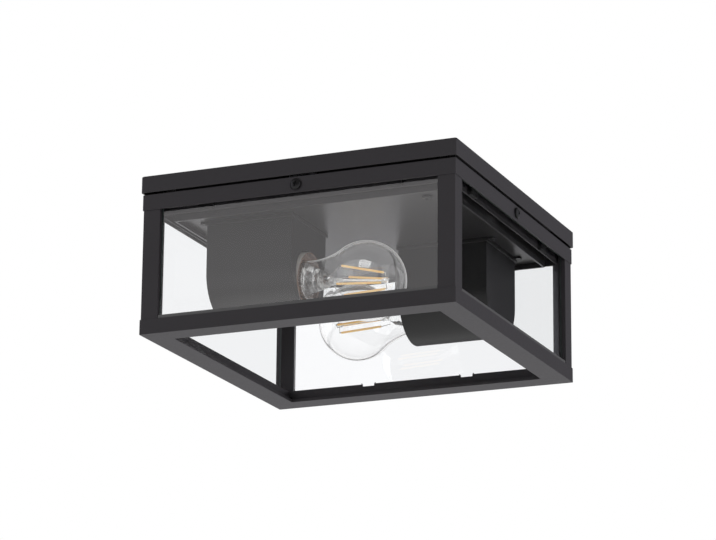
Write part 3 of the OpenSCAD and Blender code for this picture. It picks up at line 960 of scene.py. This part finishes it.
@dataclass
class CeilingPan:
    """Pressed pan that closes the lantern against the ceiling."""

    width: float = 252.4
    depth: float = 13.0
    sheet: float = 1.2
    corner_r: float = 1.6
    fold_r: float = 0.9
    slot_pitch: float = 160.0
    slot_width: float = 5.5
    slot_length: float = 16.0
    entry_y: float = 40.0
    entry_r: float = 10.0

    def build(self, lantern: Lantern) -> None:
        """Makes the pan and cuts its holes."""
        out_u = self.width / 2
        in_u = out_u - self.sheet
        edge = self.sheet / 4
        skin = rounded([(out_u - 6, 0), (out_u, 0), (out_u, -self.depth)], self.fold_r, 4, closed=False)[1:]
        lip = [(out_u - edge, -self.depth), (in_u + edge, -self.depth), (in_u, -self.depth + edge)]
        pan = Bench.ring("ceiling_pan_pressed", skin[:-1] + [(out_u, -self.depth + edge)] + lip
                         + [(in_u, -self.sheet)], self.corner_r, steps=8, lid=True)
        Bench.cut(pan, self.holes())
        Bench.smooth(pan)
        lantern.add(pan, "black_metal", "ceiling_pan")

    def holes(self) -> Object:
        """Cutters for the two screw slots and the cable entry."""
        tools = [self.peg("entry_tool", 0, self.entry_y, self.entry_r)]
        run = (self.slot_length - self.slot_width) / 2
        for x in (-self.slot_pitch / 2, self.slot_pitch / 2):
            half = self.slot_width / 2
            arc = [math.radians(-90 + 15 * i) for i in range(13)]
            right = [(x + run + half * math.cos(a), half * math.sin(a)) for a in arc]
            left = [(x - run - half * math.cos(a), -half * math.sin(a)) for a in arc]
            tools.append(Bench.prism("slot_tool", right + left, -2 * self.sheet, self.sheet))
        return Bench.join("pan_tools", tools)

    def peg(self, name: str, x: float, y: float, radius: float) -> Object:
        """Round cutter through the pan."""
        ring = [(x + radius * math.cos(a), y + radius * math.sin(a))
                for a in (FULL_TURN * i / 48 for i in range(48))]
        return Bench.prism(name, ring, -2 * self.sheet, self.sheet)


@dataclass
class LanternFrame:
    """Welded rails, corner posts and glass stops."""

    width: float = 250.0
    base_z: float = -122.0
    sheet: float = 1.0
    rail_top_z: float = -14.5
    rail_low_z: float = -26.5
    lip_u: float = 115.0
    lip_low_z: float = -29.0
    flange_u: float = 105.5
    hem_h: float = 2.5
    bottom_rail_h: float = 11.4
    post_w: float = 14.3
    post_return: float = 7.7
    post_step: float = 0.6
    web_lap: float = 0.8
    web_t: float = 1.2
    edge_r: float = 0.22
    corner_r: float = 0.5
    screw_z: float = -20.4
    screw_hole_r: float = 2.25
    dimple_r: float = 4.9
    dimple_depth: float = 0.35
    stop_u: float = 112.0
    stop_top_z: float = -111.2
    pane_u: float = 118.0
    notch_at: float = 41.7
    notch_w: float = 10.0
    notch_h: float = 1.8
    tongue_z: tuple[float, float] = (-5.0, -2.2)
    tongue_w: float = 9.0
    burr_h: float = 0.9

    def build(self, lantern: Lantern) -> None:
        """Makes every bar of the frame."""
        self.rails(lantern, "top_rail", self.top_ring())
        self.rails(lantern, "bottom_rail", self.bottom_ring())
        self.rails(lantern, "glass_stop", self.stop_ring())
        self.posts(lantern)

    @property
    def half(self) -> float:
        """Distance from the centre to the outer faces."""
        return self.width / 2

    def top_ring(self) -> Object:
        """Folded top rail, a channel open downwards, with a dimple for each side screw."""
        t, high, low, lip_low = self.sheet, self.rail_top_z, self.rail_low_z, self.lip_low_z
        out, back = self.half, self.lip_u
        corners = [(out, low), (out, high), (back - t, high), (back - t, lip_low),
                   (back, lip_low), (back, high - t), (out - t, high - t), (out - t, low)]
        ring = Bench.ring("top_ring", rounded(corners, self.edge_r), self.corner_r)
        hole_r, dimple_r, depth = self.screw_hole_r, self.dimple_r, self.dimple_depth
        outline = [(0, -20), (hole_r, -20), (hole_r, -depth), (dimple_r - 0.3, -depth),
                   (dimple_r, 0.1), (dimple_r, 2), (0, 2)]
        spot = Matrix.Translation((out * MM, 0, self.screw_z * MM))
        tools = [Bench.place(Bench.lathe("hole_tool", outline, 32), side.turn @ spot) for side in Side]
        Bench.cut(ring, Bench.join("hole_tools", tools))
        return ring

    def bottom_ring(self) -> Object:
        """Bottom rail: a wall with a wide, hemmed flange turned in under the lantern."""
        t, base = self.sheet, self.base_z
        hem_u, hem_z = self.flange_u, base + self.hem_h
        corners = [(self.half, base + self.bottom_rail_h), (self.half, base), (hem_u, base), (hem_u, hem_z),
                   (hem_u + t, hem_z), (hem_u + t, base + t), (self.half - t, base + t),
                   (self.half - t, base + self.bottom_rail_h)]
        return Bench.ring("bottom_ring", rounded(corners, self.edge_r), self.corner_r)

    def stop_ring(self) -> Object:
        """Glass stop inside the bottom rail. Its front and back have the notches of their bent tongues."""
        t, foot = self.sheet, self.base_z + self.sheet
        foot_u = self.flange_u + t + 0.1
        corners = [(foot_u, foot), (self.stop_u, foot), (self.stop_u, self.stop_top_z),
                   (self.stop_u - t, self.stop_top_z), (self.stop_u - t, foot + t), (foot_u, foot + t)]
        ring = Bench.ring("stop_ring", rounded(corners, self.edge_r), 0.6, 3)
        low = self.stop_top_z - self.notch_h
        tools = []
        for side in (Side.FRONT, Side.BACK):
            for middle in (-self.notch_at, self.notch_at):
                box = [(middle - self.notch_w / 2, low), (middle + self.notch_w / 2, low),
                       (middle + self.notch_w / 2, low + 4), (middle - self.notch_w / 2, low + 4)]
                tool = Bench.prism("notch_tool", box, self.stop_u - 3, self.stop_u + 2, "X")
                tools.append(Bench.place(tool, side.turn))
        Bench.cut(ring, Bench.join("notch_tools", tools))
        return ring

    def tongues(self, side: Side) -> list[Object]:
        """Two tongues bent out until they touch the pane, and the burrs beside their notches."""
        made = []
        top, root_u = self.stop_top_z, self.stop_u - 0.2
        (low, high), half = self.tongue_z, self.tongue_w / 2
        leaf = rounded([(root_u, top + low), (self.pane_u, top + high - 0.8), (self.pane_u, top + high),
                        (root_u, top + low + 1)], 0.15)
        for middle in (-self.notch_at, self.notch_at):
            made.append(Bench.prism("tongue", leaf, middle - half, middle + half, "Y"))
            for edge in (-1, 1):
                foot = middle + edge * (self.notch_w / 2 + 0.5)
                tip, tip_z = foot + 0.25 * edge, top + self.burr_h
                ear = [(foot - 0.5, top - 0.6), (foot + 0.5, top - 0.6),
                       (tip + 0.15, tip_z), (tip - 0.15, tip_z)]
                made.append(Bench.prism("burr", ear, self.stop_u - 0.9, self.stop_u - 0.1, "X"))
        return [Bench.place(piece, side.turn) for piece in made]

    def rails(self, lantern: Lantern, kind: str, ring: Object) -> None:
        """Cuts a ring at its mitres into the four bars, and finishes each."""
        for side in Side:
            name = f"{kind}_{side.name.lower()}"
            piece = Bench.copy(ring, f"{name}_coated")
            for way in (-1, 1):
                normal = side.turn.to_3x3() @ Vector((-1, way, 0)).normalized()
                Bench.slice(piece, normal)
            if kind == "glass_stop" and side in (Side.FRONT, Side.BACK):
                piece = Bench.join(piece.name, [piece, *self.tongues(side)])
            Bench.smooth(piece)
            lantern.add(piece, "black_metal", name)
        bpy.data.objects.remove(ring)

    def posts(self, lantern: Lantern) -> None:
        """Corner posts. Each leg has a return that shuts in a pane's side, and a web joins the returns."""
        t = self.sheet
        face, edge = self.half - self.post_step, self.half - self.post_w
        back = face - self.post_return
        skin = face - t
        corners = [(face, edge), (face, face), (edge, face), (edge, back), (edge + t, back),
                   (edge + t, skin), (skin, skin), (skin, edge + t), (back, edge + t), (back, edge)]
        low, high = self.base_z + t, self.rail_top_z - t
        first = Bench.prism("post", rounded(corners, self.edge_r * 2), low, high)
        lap = edge - self.web_lap
        web = [(lap, back), (lap, back + self.web_t), (back + self.web_t, lap), (back, lap)]
        first = Bench.join("post", [first, Bench.prism("web", web, low, high)])
        for corner in Corner:
            name = f"post_{corner.name.lower()}"
            post = Bench.place(Bench.copy(first, f"{name}_coated"), corner.turn)
            Bench.smooth(post)
            lantern.add(post, "black_metal", name)
        bpy.data.objects.remove(first)


@dataclass
class Glazing:
    """Four panes with ground edges, their pads and their seals."""

    out_u: float = 121.0
    thickness: float = 3.0
    half_width: float = 110.6
    low_z: float = -121.0
    top_z: float = -23.5
    arris: float = 0.4

    def build(self, lantern: Lantern) -> None:
        """Makes one pane and copies it to each side."""
        in_u = self.out_u - self.thickness
        corners = [(in_u, self.low_z), (self.out_u, self.low_z), (self.out_u, self.top_z), (in_u, self.top_z)]
        first = Bench.prism("pane", corners, -self.half_width, self.half_width, "Y")
        Bench.soften(first, self.arris, segments=1)
        for side in Side:
            name = f"pane_{side.name.lower()}"
            pane = Bench.place(Bench.copy(first, f"{name}_ground"), side.turn)
            lantern.add(pane, "pane_glass", name)
        bpy.data.objects.remove(first)
        lantern.soften_node("pane_pads", "pad_rubber", 0.5)
        lantern.soften_node("pane_seals", "seal_rubber", 0.4)


@dataclass
class PanHeadScrew:
    """Pan-head screw with a cross recess, its head outside x = 0."""

    shank_r: float = 1.95
    head_r: float = 4.0
    head_h: float = 2.4
    skirt: float = 0.38
    recess_depth: float = 1.5
    recess_span: float = 4.6
    recess_w: float = 0.95
    recess_taper: float = 0.45

    def make(self, name: str, length: float) -> Object:
        """Makes one screw along X."""
        r, h = self.head_r, self.head_h
        crown = [(r * math.cos(a), h * (self.skirt + (1 - self.skirt) * math.sin(a)))
                 for a in (math.radians(12 * i) for i in range(7))]
        outline = [(0, -length), (self.shank_r - 0.5, -length), (self.shank_r, -length + 0.6),
                   (self.shank_r, 0), (r - 0.15, 0), (r, 0.15), *crown, (0, h)]
        screw = Bench.lathe(name, outline, 40)
        half, w, floor = self.recess_span / 2, self.recess_w / 2, h - self.recess_depth
        tip = half * self.recess_taper
        wedge = [(floor, -tip), (floor, tip), (h + 0.3, half), (h + 0.3, -half)]
        for turn in (90, 180):
            wing = Bench.prism("wing", wedge, -w, w, "Y")
            Bench.cut(screw, Bench.place(wing, Matrix.Rotation(math.radians(turn), 4, "X")))
        return screw


@dataclass
class Fasteners:
    """Side screws that hold the lantern to its pan, and the two screws of the lamp plate."""

    side_u: float = 125.0
    side_z: float = -20.4
    side_length: float = 16.0
    first_turn: float = 45.0
    turn_step: float = 9.0
    plate_z: float = -28.5
    plate_at: tuple[float, float] = (88.0, -86.0)
    plate_length: float = 10.0

    def build(self, lantern: Lantern) -> None:
        """Makes both sets of screws."""
        out = Matrix.Translation((self.side_u * MM, 0, self.side_z * MM))
        spots = []
        for side in Side:
            turn = math.radians(self.first_turn + self.turn_step * side.value)
            spots.append(side.turn @ out @ Matrix.Rotation(turn, 4, "X"))
        self.set_screws(lantern, "side_screws", self.side_length, spots)
        x, y = self.plate_at
        down = Matrix.Rotation(math.radians(90), 4, "Y")
        spots = [Matrix.Translation(Vector((end * x, end * y, self.plate_z)) * MM) @ down for end in (1, -1)]
        self.set_screws(lantern, "plate_screws", self.plate_length, spots)

    @staticmethod
    def set_screws(lantern: Lantern, node: str, length: float, spots: list[Matrix]) -> None:
        """Makes one screw, copies it to each spot and joins the copies."""
        first = PanHeadScrew().make("screw", length)
        copies = [Bench.place(Bench.copy(first, "screw_copy"), spot) for spot in spots]
        bpy.data.objects.remove(first)
        screws = Bench.join(f"{node}_blacked", copies)
        Bench.smooth(screws, 35)
        lantern.add(screws, "black_screw", node)


@dataclass
class LampFrame:
    """Place of one lampholder: its mouth's centre and how far it droops."""

    which: str
    x: float
    y: float
    z: float
    about_face: bool
    droop: float
    filament_turn: float
    filament_r: float

    @property
    def matrix(self) -> Matrix:
        """Frame with its origin at the mouth's centre and +X out of the mouth."""
        turn = Matrix.Rotation(math.pi if self.about_face else 0.0, 4, "Z")
        return (Matrix.Translation((self.x * MM, self.y * MM, self.z * MM)) @ turn
                @ Matrix.Rotation(math.radians(self.droop), 4, "Y"))


FRONT_LAMP = LampFrame("front", -19.5, -56.0, -73.0, False, 6.3, 28.0, 11.5)
REAR_LAMP = LampFrame("rear", 19.5, 56.0, -74.0, True, 2.7, -12.0, 5.8)


def roll_thread(obj: Object, radius: float, depth: float, start: float, end: float) -> None:
    """Presses a right-handed rolled thread into a lathed wall.

    Args:
        obj: a shape spun round X, with many rings between start and end.
        radius: only points further from the axis than this move.
        depth: how far the troughs go in.
        start: x of the thread's first end.
        end: x of its last end, over start.
    """
    for vertex in obj.data.vertices:
        x, y, z = vertex.co / MM
        reach = math.hypot(y, z)
        if reach < radius or not start < x < end:
            continue
        run_out = min(1.0, (x - start) / THREAD_PITCH, (end - x) / THREAD_PITCH)
        phase = FULL_TURN * x / THREAD_PITCH - math.atan2(z, y)
        fresh = reach - depth * run_out * (0.5 - 0.5 * math.cos(phase))
        vertex.co = Vector((x, y * fresh / reach, z * fresh / reach)) * MM


@dataclass
class Lampholder:
    """Glazed ceramic lampholder and its rolled screw shell."""

    rim_r: float = 21.0
    rim_len: float = 8.0
    body_r: float = 19.5
    length: float = 48.0
    recess_r: float = 19.4
    recess_len: float = 4.0
    bore_r: float = 14.6
    bore_len: float = 36.0
    shell_r: float = 14.5
    shell_wall: float = 0.4
    shell_end: float = -33.0
    thread_depth: float = 0.5

    def build(self, lantern: Lantern, lamp: LampFrame) -> None:
        """Makes the holder and the shell at one lamp."""
        back, step = -self.length, -self.recess_len
        corners = [(2.0, back), (self.body_r - 2, back), (self.body_r, back + 2),
                   (self.body_r, -self.rim_len - 1.5), (self.rim_r, -self.rim_len), (self.rim_r, 1.0),
                   (self.recess_r, 1.0), (self.recess_r, step), (self.bore_r + 0.2, step),
                   (self.bore_r, -self.bore_len), (2.0, -self.bore_len)]
        holder = Bench.lathe(f"{lamp.which}_holder_glazed", rounded(corners, 0.9, 4), 72, closed=True)
        Bench.smooth(Bench.place(holder, lamp.matrix))
        lantern.add(holder, "holder_ceramic", f"{lamp.which}_holder")
        low, wall = self.shell_end, self.shell_wall
        high, inner_r = 0.5 - self.recess_len, self.shell_r - wall
        rows = 60
        span = [low + (high - low) * i / rows for i in range(rows + 1)]
        outside = [(self.shell_r, x) for x in span]
        inside = [(inner_r, x) for x in reversed(span[1:])]
        section = [(6.0, low), *outside, *inside, (inner_r, low + wall), (6.0, low + wall)]
        shell = Bench.lathe(f"{lamp.which}_shell_rolled", section, 64, closed=True)
        roll_thread(shell, inner_r - 0.1, self.thread_depth, low + 2, high - 1.2)
        Bench.smooth(Bench.place(shell, lamp.matrix))
        lantern.add(shell, "shell_brass", f"{lamp.which}_shell")


@dataclass
class FilamentLamp:
    """Clear lamp with an E27 cap, a pinched stem and four filaments."""

    globe_r: float = 30.0
    length: float = 77.5
    neck_r: float = 14.1
    flare_r: float = 60.0
    wall: float = 0.9
    mouth_x: float = 0.5
    cap_r: float = 13.1
    cap_len: float = 22.0
    thread_depth: float = 0.8
    tip_x: float = -29.0
    pinch_x: tuple[float, float] = (20.5, 25.5)
    pinch: tuple[float, float, float] = (1.0, 1.25, 0.42)
    rod_r: float = 0.9
    rod_end: float = 65.0
    bead_r: float = 1.9
    bead_len: float = 4.4
    filament_r: float = 0.85
    filament_x: tuple[float, float] = (26.5, 63.5)
    filament_end_r: float = 6.0
    pin_r: float = 0.45
    pin_len: float = 2.0
    wire_r: float = 0.28
    wire_foot: tuple[float, float, float] = (20.0, 0.0, 5.0)

    def build(self, lantern: Lantern, lamp: LampFrame) -> None:
        """Makes the whole lamp at one lampholder."""
        body = Body(f"{lamp.which}_bulb")
        name = f"{lamp.which}_bulb"
        outer = self.glass_outline(0.0)
        inner = self.glass_outline(self.wall)
        glass = Bench.lathe(f"{name}_glass_blown", outer + inner[::-1], 96, closed=True)
        self.finish(lantern, lamp, glass, "bulb_glass", f"{name}_glass", body)
        self.finish(lantern, lamp, self.cap(name), "bulb_cap_metal", f"{name}_cap", body)
        self.finish(lantern, lamp, self.stem(name), "bulb_stem_glass", f"{name}_stem", body)
        self.finish(lantern, lamp, self.filaments(name, lamp), "filament_phosphor", f"{name}_filaments", body)
        wires = Bench.place(self.wires(name, lamp), lamp.matrix)
        Bench.smooth(wires)
        lantern.add(wires, "bulb_cap_metal", body=body)

    @staticmethod
    def finish(lantern: Lantern, lamp: LampFrame, obj: Object, slot: str, node: str, body: Body) -> None:
        """Places, smooths and records one part of the lamp."""
        Bench.place(obj, lamp.matrix)
        Bench.smooth(obj)
        lantern.add(obj, slot, node, body=body)

    def glass_outline(self, inset: float) -> Outline:
        """Half section of the glass, from the neck to the top of the dome, drawn in by inset."""
        globe_x = self.length - self.globe_r
        centre_r = self.neck_r + self.flare_r
        flare_x = globe_x - math.sqrt((self.globe_r + self.flare_r) ** 2 - centre_r ** 2)
        join = math.atan2(centre_r, globe_x - flare_x)
        start = math.acos((self.mouth_x - flare_x) / self.flare_r)
        flare, globe = 14, 30
        made = []
        for i in range(flare + 1):
            a = start + (join - start) * i / flare
            made.append((centre_r - (self.flare_r + inset) * math.sin(a),
                         flare_x + (self.flare_r + inset) * math.cos(a)))
        for i in range(1, globe + 1):
            a = (math.pi - join) * (1 - i / globe)
            r = self.globe_r - inset
            made.append((max(r * math.sin(a), 0.0), globe_x + r * math.cos(a)))
        return made

    def cap(self, name: str) -> Object:
        """Screw cap with a rolled thread, its insulator and its contact."""
        rows = 48
        low, high = -self.cap_len, self.mouth_x
        wall = [(self.cap_r, high - 0.6 + (low + 0.8 - high + 0.6) * i / rows) for i in range(rows + 1)]
        outline = [(0, high), (self.cap_r - 0.5, high), *wall, (self.cap_r - 0.6, low),
                   (7, self.tip_x + 2.2), (4.8, self.tip_x + 1), (4.2, self.tip_x + 0.3), (3.4, self.tip_x),
                   (0, self.tip_x)]
        cap = Bench.lathe(f"{name}_cap_rolled", outline, 64)
        roll_thread(cap, self.cap_r - 0.2, self.thread_depth, low + 1.5, high - 2.5)
        return cap

    def stem(self, name: str) -> Object:
        """Flared foot, pinched neck and centre rod of the glass mount, with a bead at the rod's end."""
        foot = [(0, 0.5), (10.5, 0.5), (10.2, 4), (8, 10), (6.2, 16), (5, 21), (3.4, 24.5), (1.6, 26)]
        bead_x = self.rod_end - self.bead_len
        rod = [(self.rod_r, 29), (self.rod_r, bead_x - 0.6), (self.bead_r, bead_x),
               (self.bead_r, self.rod_end), (0, self.rod_end)]
        stem = Bench.lathe(f"{name}_stem_pinched", rounded(foot + rod, 2.0, 5, closed=False), 48)
        low, high = self.pinch_x
        with Bench.editing(stem):
            Bench.pick(stem, Element.VERT, lambda v: low * MM < v.co.x < high * MM)
            bpy.ops.transform.resize(value=self.pinch, center_override=((low + high) / 2 * MM, 0, 0))
        return stem

    def spots(self, lamp: LampFrame) -> list[tuple[Matrix, Vector, Vector]]:
        """Turn of each filament about the lamp's axis, with its two ends."""
        start = Vector((self.filament_x[0], 0, lamp.filament_r))
        end = Vector((self.filament_x[1], 0, self.filament_end_r))
        return [(Matrix.Rotation(math.radians(lamp.filament_turn + 90 * i), 4, "X"), start, end)
                for i in range(4)]

    def filaments(self, name: str, lamp: LampFrame) -> Object:
        """Four coated sticks that lean in towards the dome."""
        sticks = []
        for turn, start, end in self.spots(lamp):
            along = (end - start).normalized()
            stick = Bench.bar("stick", start + along * 1.6, end - along * 1.6, self.filament_r)
            sticks.append(Bench.place(stick, turn))
        return Bench.join(f"{name}_filaments_coated", sticks)

    def wires(self, name: str, lamp: LampFrame) -> Object:
        """End pins of the filaments, and the wires that carry them."""
        made = []
        for turn, start, end in self.spots(lamp):
            along = (end - start).normalized()
            pin, joint = along * self.pin_len, along * 0.4
            top, foot = Vector((end.x - 0.4, 0, self.rod_r * 0.6)), Vector(self.wire_foot)
            for a, b, r in ((start, start + pin, self.pin_r), (end - pin, end, self.pin_r),
                            (end - joint, top, self.wire_r), (start + joint, foot, self.wire_r)):
                made.append(Bench.place(Bench.bar("wire", a, b, r, 10), turn))
        return Bench.join(f"{name}_wires_drawn", made)


@dataclass
class Works:
    """Sheet brackets, moulded covers and small parts that keep their CAD form with eased edges."""

    rim_u: float = 107.0
    rim_t: float = 1.8
    rim_z: tuple[float, float] = (-32.2, -28.4)
    end_x: float = 87.1
    end_step: float = 2.2

    def build(self, lantern: Lantern) -> None:
        """Eases or dresses each remaining CAD node."""
        lantern.soften_node("lamp_plate", "plate_metal", 0.35)
        low, high = self.rim_z
        inner = self.rim_u - self.rim_t
        wall = [(inner, low), (self.rim_u, low), (self.rim_u, high), (inner, high)]
        rim = Bench.ring("plate_rim", rounded(wall, 0.3), 1.0)
        Bench.smooth(rim)
        lantern.add(rim, "plate_metal")
        for which, way in (("front", -1), ("rear", 1)):
            cover = lantern.soften_node(f"{which}_cover", "cover_plastic", 0.7, angle=35)
            self.draw_in(cover, way)
            lantern.soften_node(f"{which}_bracket", "zinc_steel", 0.3)
        lantern.soften_node("hanger_tabs", "zinc_steel", 0.3)
        self.dress_rest(lantern)

    def draw_in(self, cover: Object, way: int) -> None:
        """Moves the closed end of a cover in towards the lamp."""
        with Bench.editing(cover):
            Bench.pick(cover, Element.VERT, lambda v: v.co.x * way > self.end_x * MM)
            bpy.ops.transform.translate(value=(-way * self.end_step * MM, 0, 0))

    @staticmethod
    def dress_rest(lantern: Lantern) -> None:
        """Gives its material to each node that keeps its CAD form."""
        for node, obj in lantern.nodes.items():
            if node not in lantern.dressed:
                lantern.palette.dress(obj, lantern.slots[node])
                log.info("%s: CAD form, %s", node, lantern.slots[node])


@dataclass
class Studio:
    """Camera, soft light, pale floor and the white that the glass shows."""

    camera_at: tuple[float, float, float] = (0.8904, -2.0827, -0.710)
    azimuth: float = 23.237
    elevation: float = -16.206
    roll: float = 0.532
    lens: float = 155.64
    sensor: float = 36.0
    floor_z: float = -2.4
    floor_r: float = 9.0
    past_pane: Colour = (0.965, 0.97, 0.985, 1.0)
    past_lamp: Colour = (1.06, 1.065, 1.08, 1.0)
    mirrored: Colour = (1.0, 0.975, 0.985, 1.0)
    gloss_front: Colour = (0.165, 0.158, 0.163, 1.0)
    gloss_back: Colour = (0.27, 0.26, 0.28, 1.0)
    gloss_side: Colour = (0.9, 0.9, 1.0, 1.0)
    gloss_low: Colour = (0.84, 0.81, 0.92, 1.0)
    light_low: Colour = (0.66, 0.65, 0.69, 1.0)
    light_high: Colour = (0.545, 0.54, 0.535, 1.0)
    dark_way: tuple[float, float, float] = (0.378, 0.883, 0.279)
    dark_edge: float = 25.0
    dark_core: float = 12.0
    dark_level: float = 0.02
    window_turn: float = 17.0
    window_rise: float = 34.0
    window_half: tuple[float, float] = (0.27, 0.2)
    window_level: float = 12.0
    floor_shown: float = 0.8

    def build(self) -> None:
        """Sets the studio up."""
        scene = bpy.context.scene
        scene.view_settings.view_transform = "Standard"
        scene.cycles.max_bounces = 24
        scene.cycles.transmission_bounces = 24
        scene.cycles.transparent_max_bounces = 24
        self.camera()
        self.world()
        self.lamp("key", (-1.6, -2.6, 0.9), 1.8, 16.0)
        self.lamp("fill", (2.8, -0.9, -0.2), 1.6, 12.0)
        self.floor()

    def camera(self) -> None:
        """Camera at the photograph's viewing angle."""
        a, e, r = (math.radians(v) for v in (self.azimuth, self.elevation, self.roll))
        back = Vector((math.sin(a) * math.cos(e), -math.cos(a) * math.cos(e), math.sin(e)))
        right = Vector((math.cos(a), math.sin(a), 0))
        up = back.cross(right)
        across = right * math.cos(r) + up * math.sin(r)
        above = up * math.cos(r) - right * math.sin(r)
        data = bpy.data.cameras.new("camera")
        data.lens, data.sensor_width = self.lens, self.sensor
        camera = bpy.data.objects.new("camera", data)
        camera.matrix_world = (Matrix.Translation(self.camera_at)
                               @ Matrix((across, above, back)).transposed().to_4x4())
        bpy.context.collection.objects.link(camera)
        bpy.context.scene.camera = camera

    def world(self) -> None:
        """White behind everything and in mirrors, dimmer for dull gloss, and an even light on the object."""
        world = bpy.data.worlds.new("studio")
        world.use_nodes = True
        bpy.context.scene.world = world
        recipe = Recipe(world.node_tree)
        path = recipe.node("ShaderNodeLightPath")
        way = recipe.place("Generated")
        depth = recipe.out(path, "Ray Depth")
        gloss = recipe.blend(recipe.out(path, "Is Singular Ray"), self.dull(recipe, way),
                             self.mirror(recipe, path, way))
        # The world counts one bounce too many: 3 past a pane, 5 past two, 7 past a lamp and a pane.
        through = recipe.blend(depth.above(5.5), self.past_pane, self.past_lamp)
        behind = recipe.blend(recipe.out(path, "Is Camera Ray"), through, grey(1.0))
        bounced = recipe.out(path, "Is Glossy Ray") * (1 - recipe.out(path, "Is Transmission Ray"))
        seen = recipe.blend(bounced, behind, gloss)
        _, _, z = recipe.split(way)
        soft = recipe.blend(recipe.ease(z, -0.6, 0.6), self.light_low, self.light_high)
        light = recipe.blend(self.shown(recipe, path), soft, seen)
        shader = recipe.add("ShaderNodeBackground", {"Color": light, "Strength": 1.0})
        recipe.node("ShaderNodeOutputWorld", {"Surface": shader})

    def dull(self, recipe: Recipe, way: Wire) -> Wire:
        """What dull gloss shows: dim in front and behind, brighter at the sides and below."""
        x, y, z = recipe.split(way)
        high = recipe.blend(recipe.ease(y, 0.3, 0.8), self.gloss_front, self.gloss_back)
        high = recipe.blend(recipe.ease(abs(x), 0.5, 0.85), high, self.gloss_side)
        return recipe.blend(recipe.ease(z, -0.25, 0.15), self.gloss_low, high)

    def mirror(self, recipe: Recipe, path: bpy.types.Node, way: Wire) -> Wire:
        """What a mirror shows: white, a dark spot behind, and a bright window for the lamps' glass."""
        edge, core = (math.cos(math.radians(angle)) for angle in (self.dark_edge, self.dark_core))
        spot = recipe.ease(recipe.dot(way, self.dark_way), edge, core)
        white = recipe.blend(spot, self.mirrored, grey(self.dark_level))
        on_lamp = recipe.out(path, "Ray Depth").above(2.5) * (1 - recipe.out(path, "Glossy Depth").above(1.5))
        return recipe.blend(self.window(recipe, way) * on_lamp, white, grey(self.window_level))

    def window(self, recipe: Recipe, way: Wire) -> Wire:
        """1 inside the studio's window, and 0 round it."""
        turn, rise = math.radians(self.window_turn), math.radians(self.window_rise)
        ahead = (math.sin(turn) * math.cos(rise), -math.cos(turn) * math.cos(rise), math.sin(rise))
        across = (math.cos(turn), math.sin(turn), 0.0)
        above = tuple(Vector(across).cross(Vector(ahead)) * -1)
        front, side, high = (recipe.dot(way, axis) for axis in (ahead, across, above))
        half_w, half_h = self.window_half
        return front.above(0.0) * (1 - abs(side).above(half_w)) * (1 - abs(high).above(half_h))

    @staticmethod
    def shown(recipe: Recipe, path: bpy.types.Node) -> Wire:
        """1 for rays that show the background, and 0 for those that light a surface."""
        rays = [recipe.out(path, f"Is {kind} Ray") for kind in ("Camera", "Glossy", "Transmission")]
        return rays[0].most(rays[1]).most(rays[2]) * (1 - recipe.out(path, "Diffuse Depth").above(0.5))

    @staticmethod
    def lamp(name: str, at: tuple[float, float, float], size: float, power: float) -> None:
        """Square soft light that looks at the lantern."""
        bpy.ops.object.select_all(action="DESELECT")
        way = Vector((0, 0, -0.06)) - Vector(at)
        bpy.ops.object.light_add(type="AREA", location=at, rotation=way.to_track_quat("-Z", "Y").to_euler())
        light = bpy.context.active_object
        light.name = name
        light.data.size = size
        light.data.energy = power
        light.visible_glossy = False

    def floor(self) -> None:
        """Pale round floor far below, white to the camera and in the gloss apart from its shadow."""
        bpy.ops.object.select_all(action="DESELECT")
        bpy.ops.mesh.primitive_circle_add(vertices=64, radius=self.floor_r, fill_type="NGON",
                                          location=(0, 0, self.floor_z))
        floor = Bench.named("floor")
        made, recipe = Recipe.material("floor")
        shown = self.shown(recipe, recipe.node("ShaderNodeLightPath"))
        paint = recipe.blend(recipe.noise(400.0), grey(0.78), grey(0.8))
        matt = recipe.add("ShaderNodeBsdfDiffuse", {"Color": paint})
        white = recipe.add("ShaderNodeEmission", {"Color": grey(1.0), "Strength": 1.0})
        recipe.finish(recipe.mix_shaders(shown * self.floor_shown, matt, white))
        floor.data.materials.append(made)
        floor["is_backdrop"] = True


def main() -> None:
    """Builds the sub-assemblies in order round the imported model."""
    logging.basicConfig(level=logging.INFO, format="%(name)s: %(message)s")
    lantern = Lantern()
    Studio().build()
    CeilingPan().build(lantern)
    LanternFrame().build(lantern)
    Glazing().build(lantern)
    Fasteners().build(lantern)
    for lamp in (FRONT_LAMP, REAR_LAMP):
        Lampholder().build(lantern, lamp)
        FilamentLamp().build(lantern, lamp)
    Works().build(lantern)
    lantern.close()


if __name__ == "__main__":
    main()
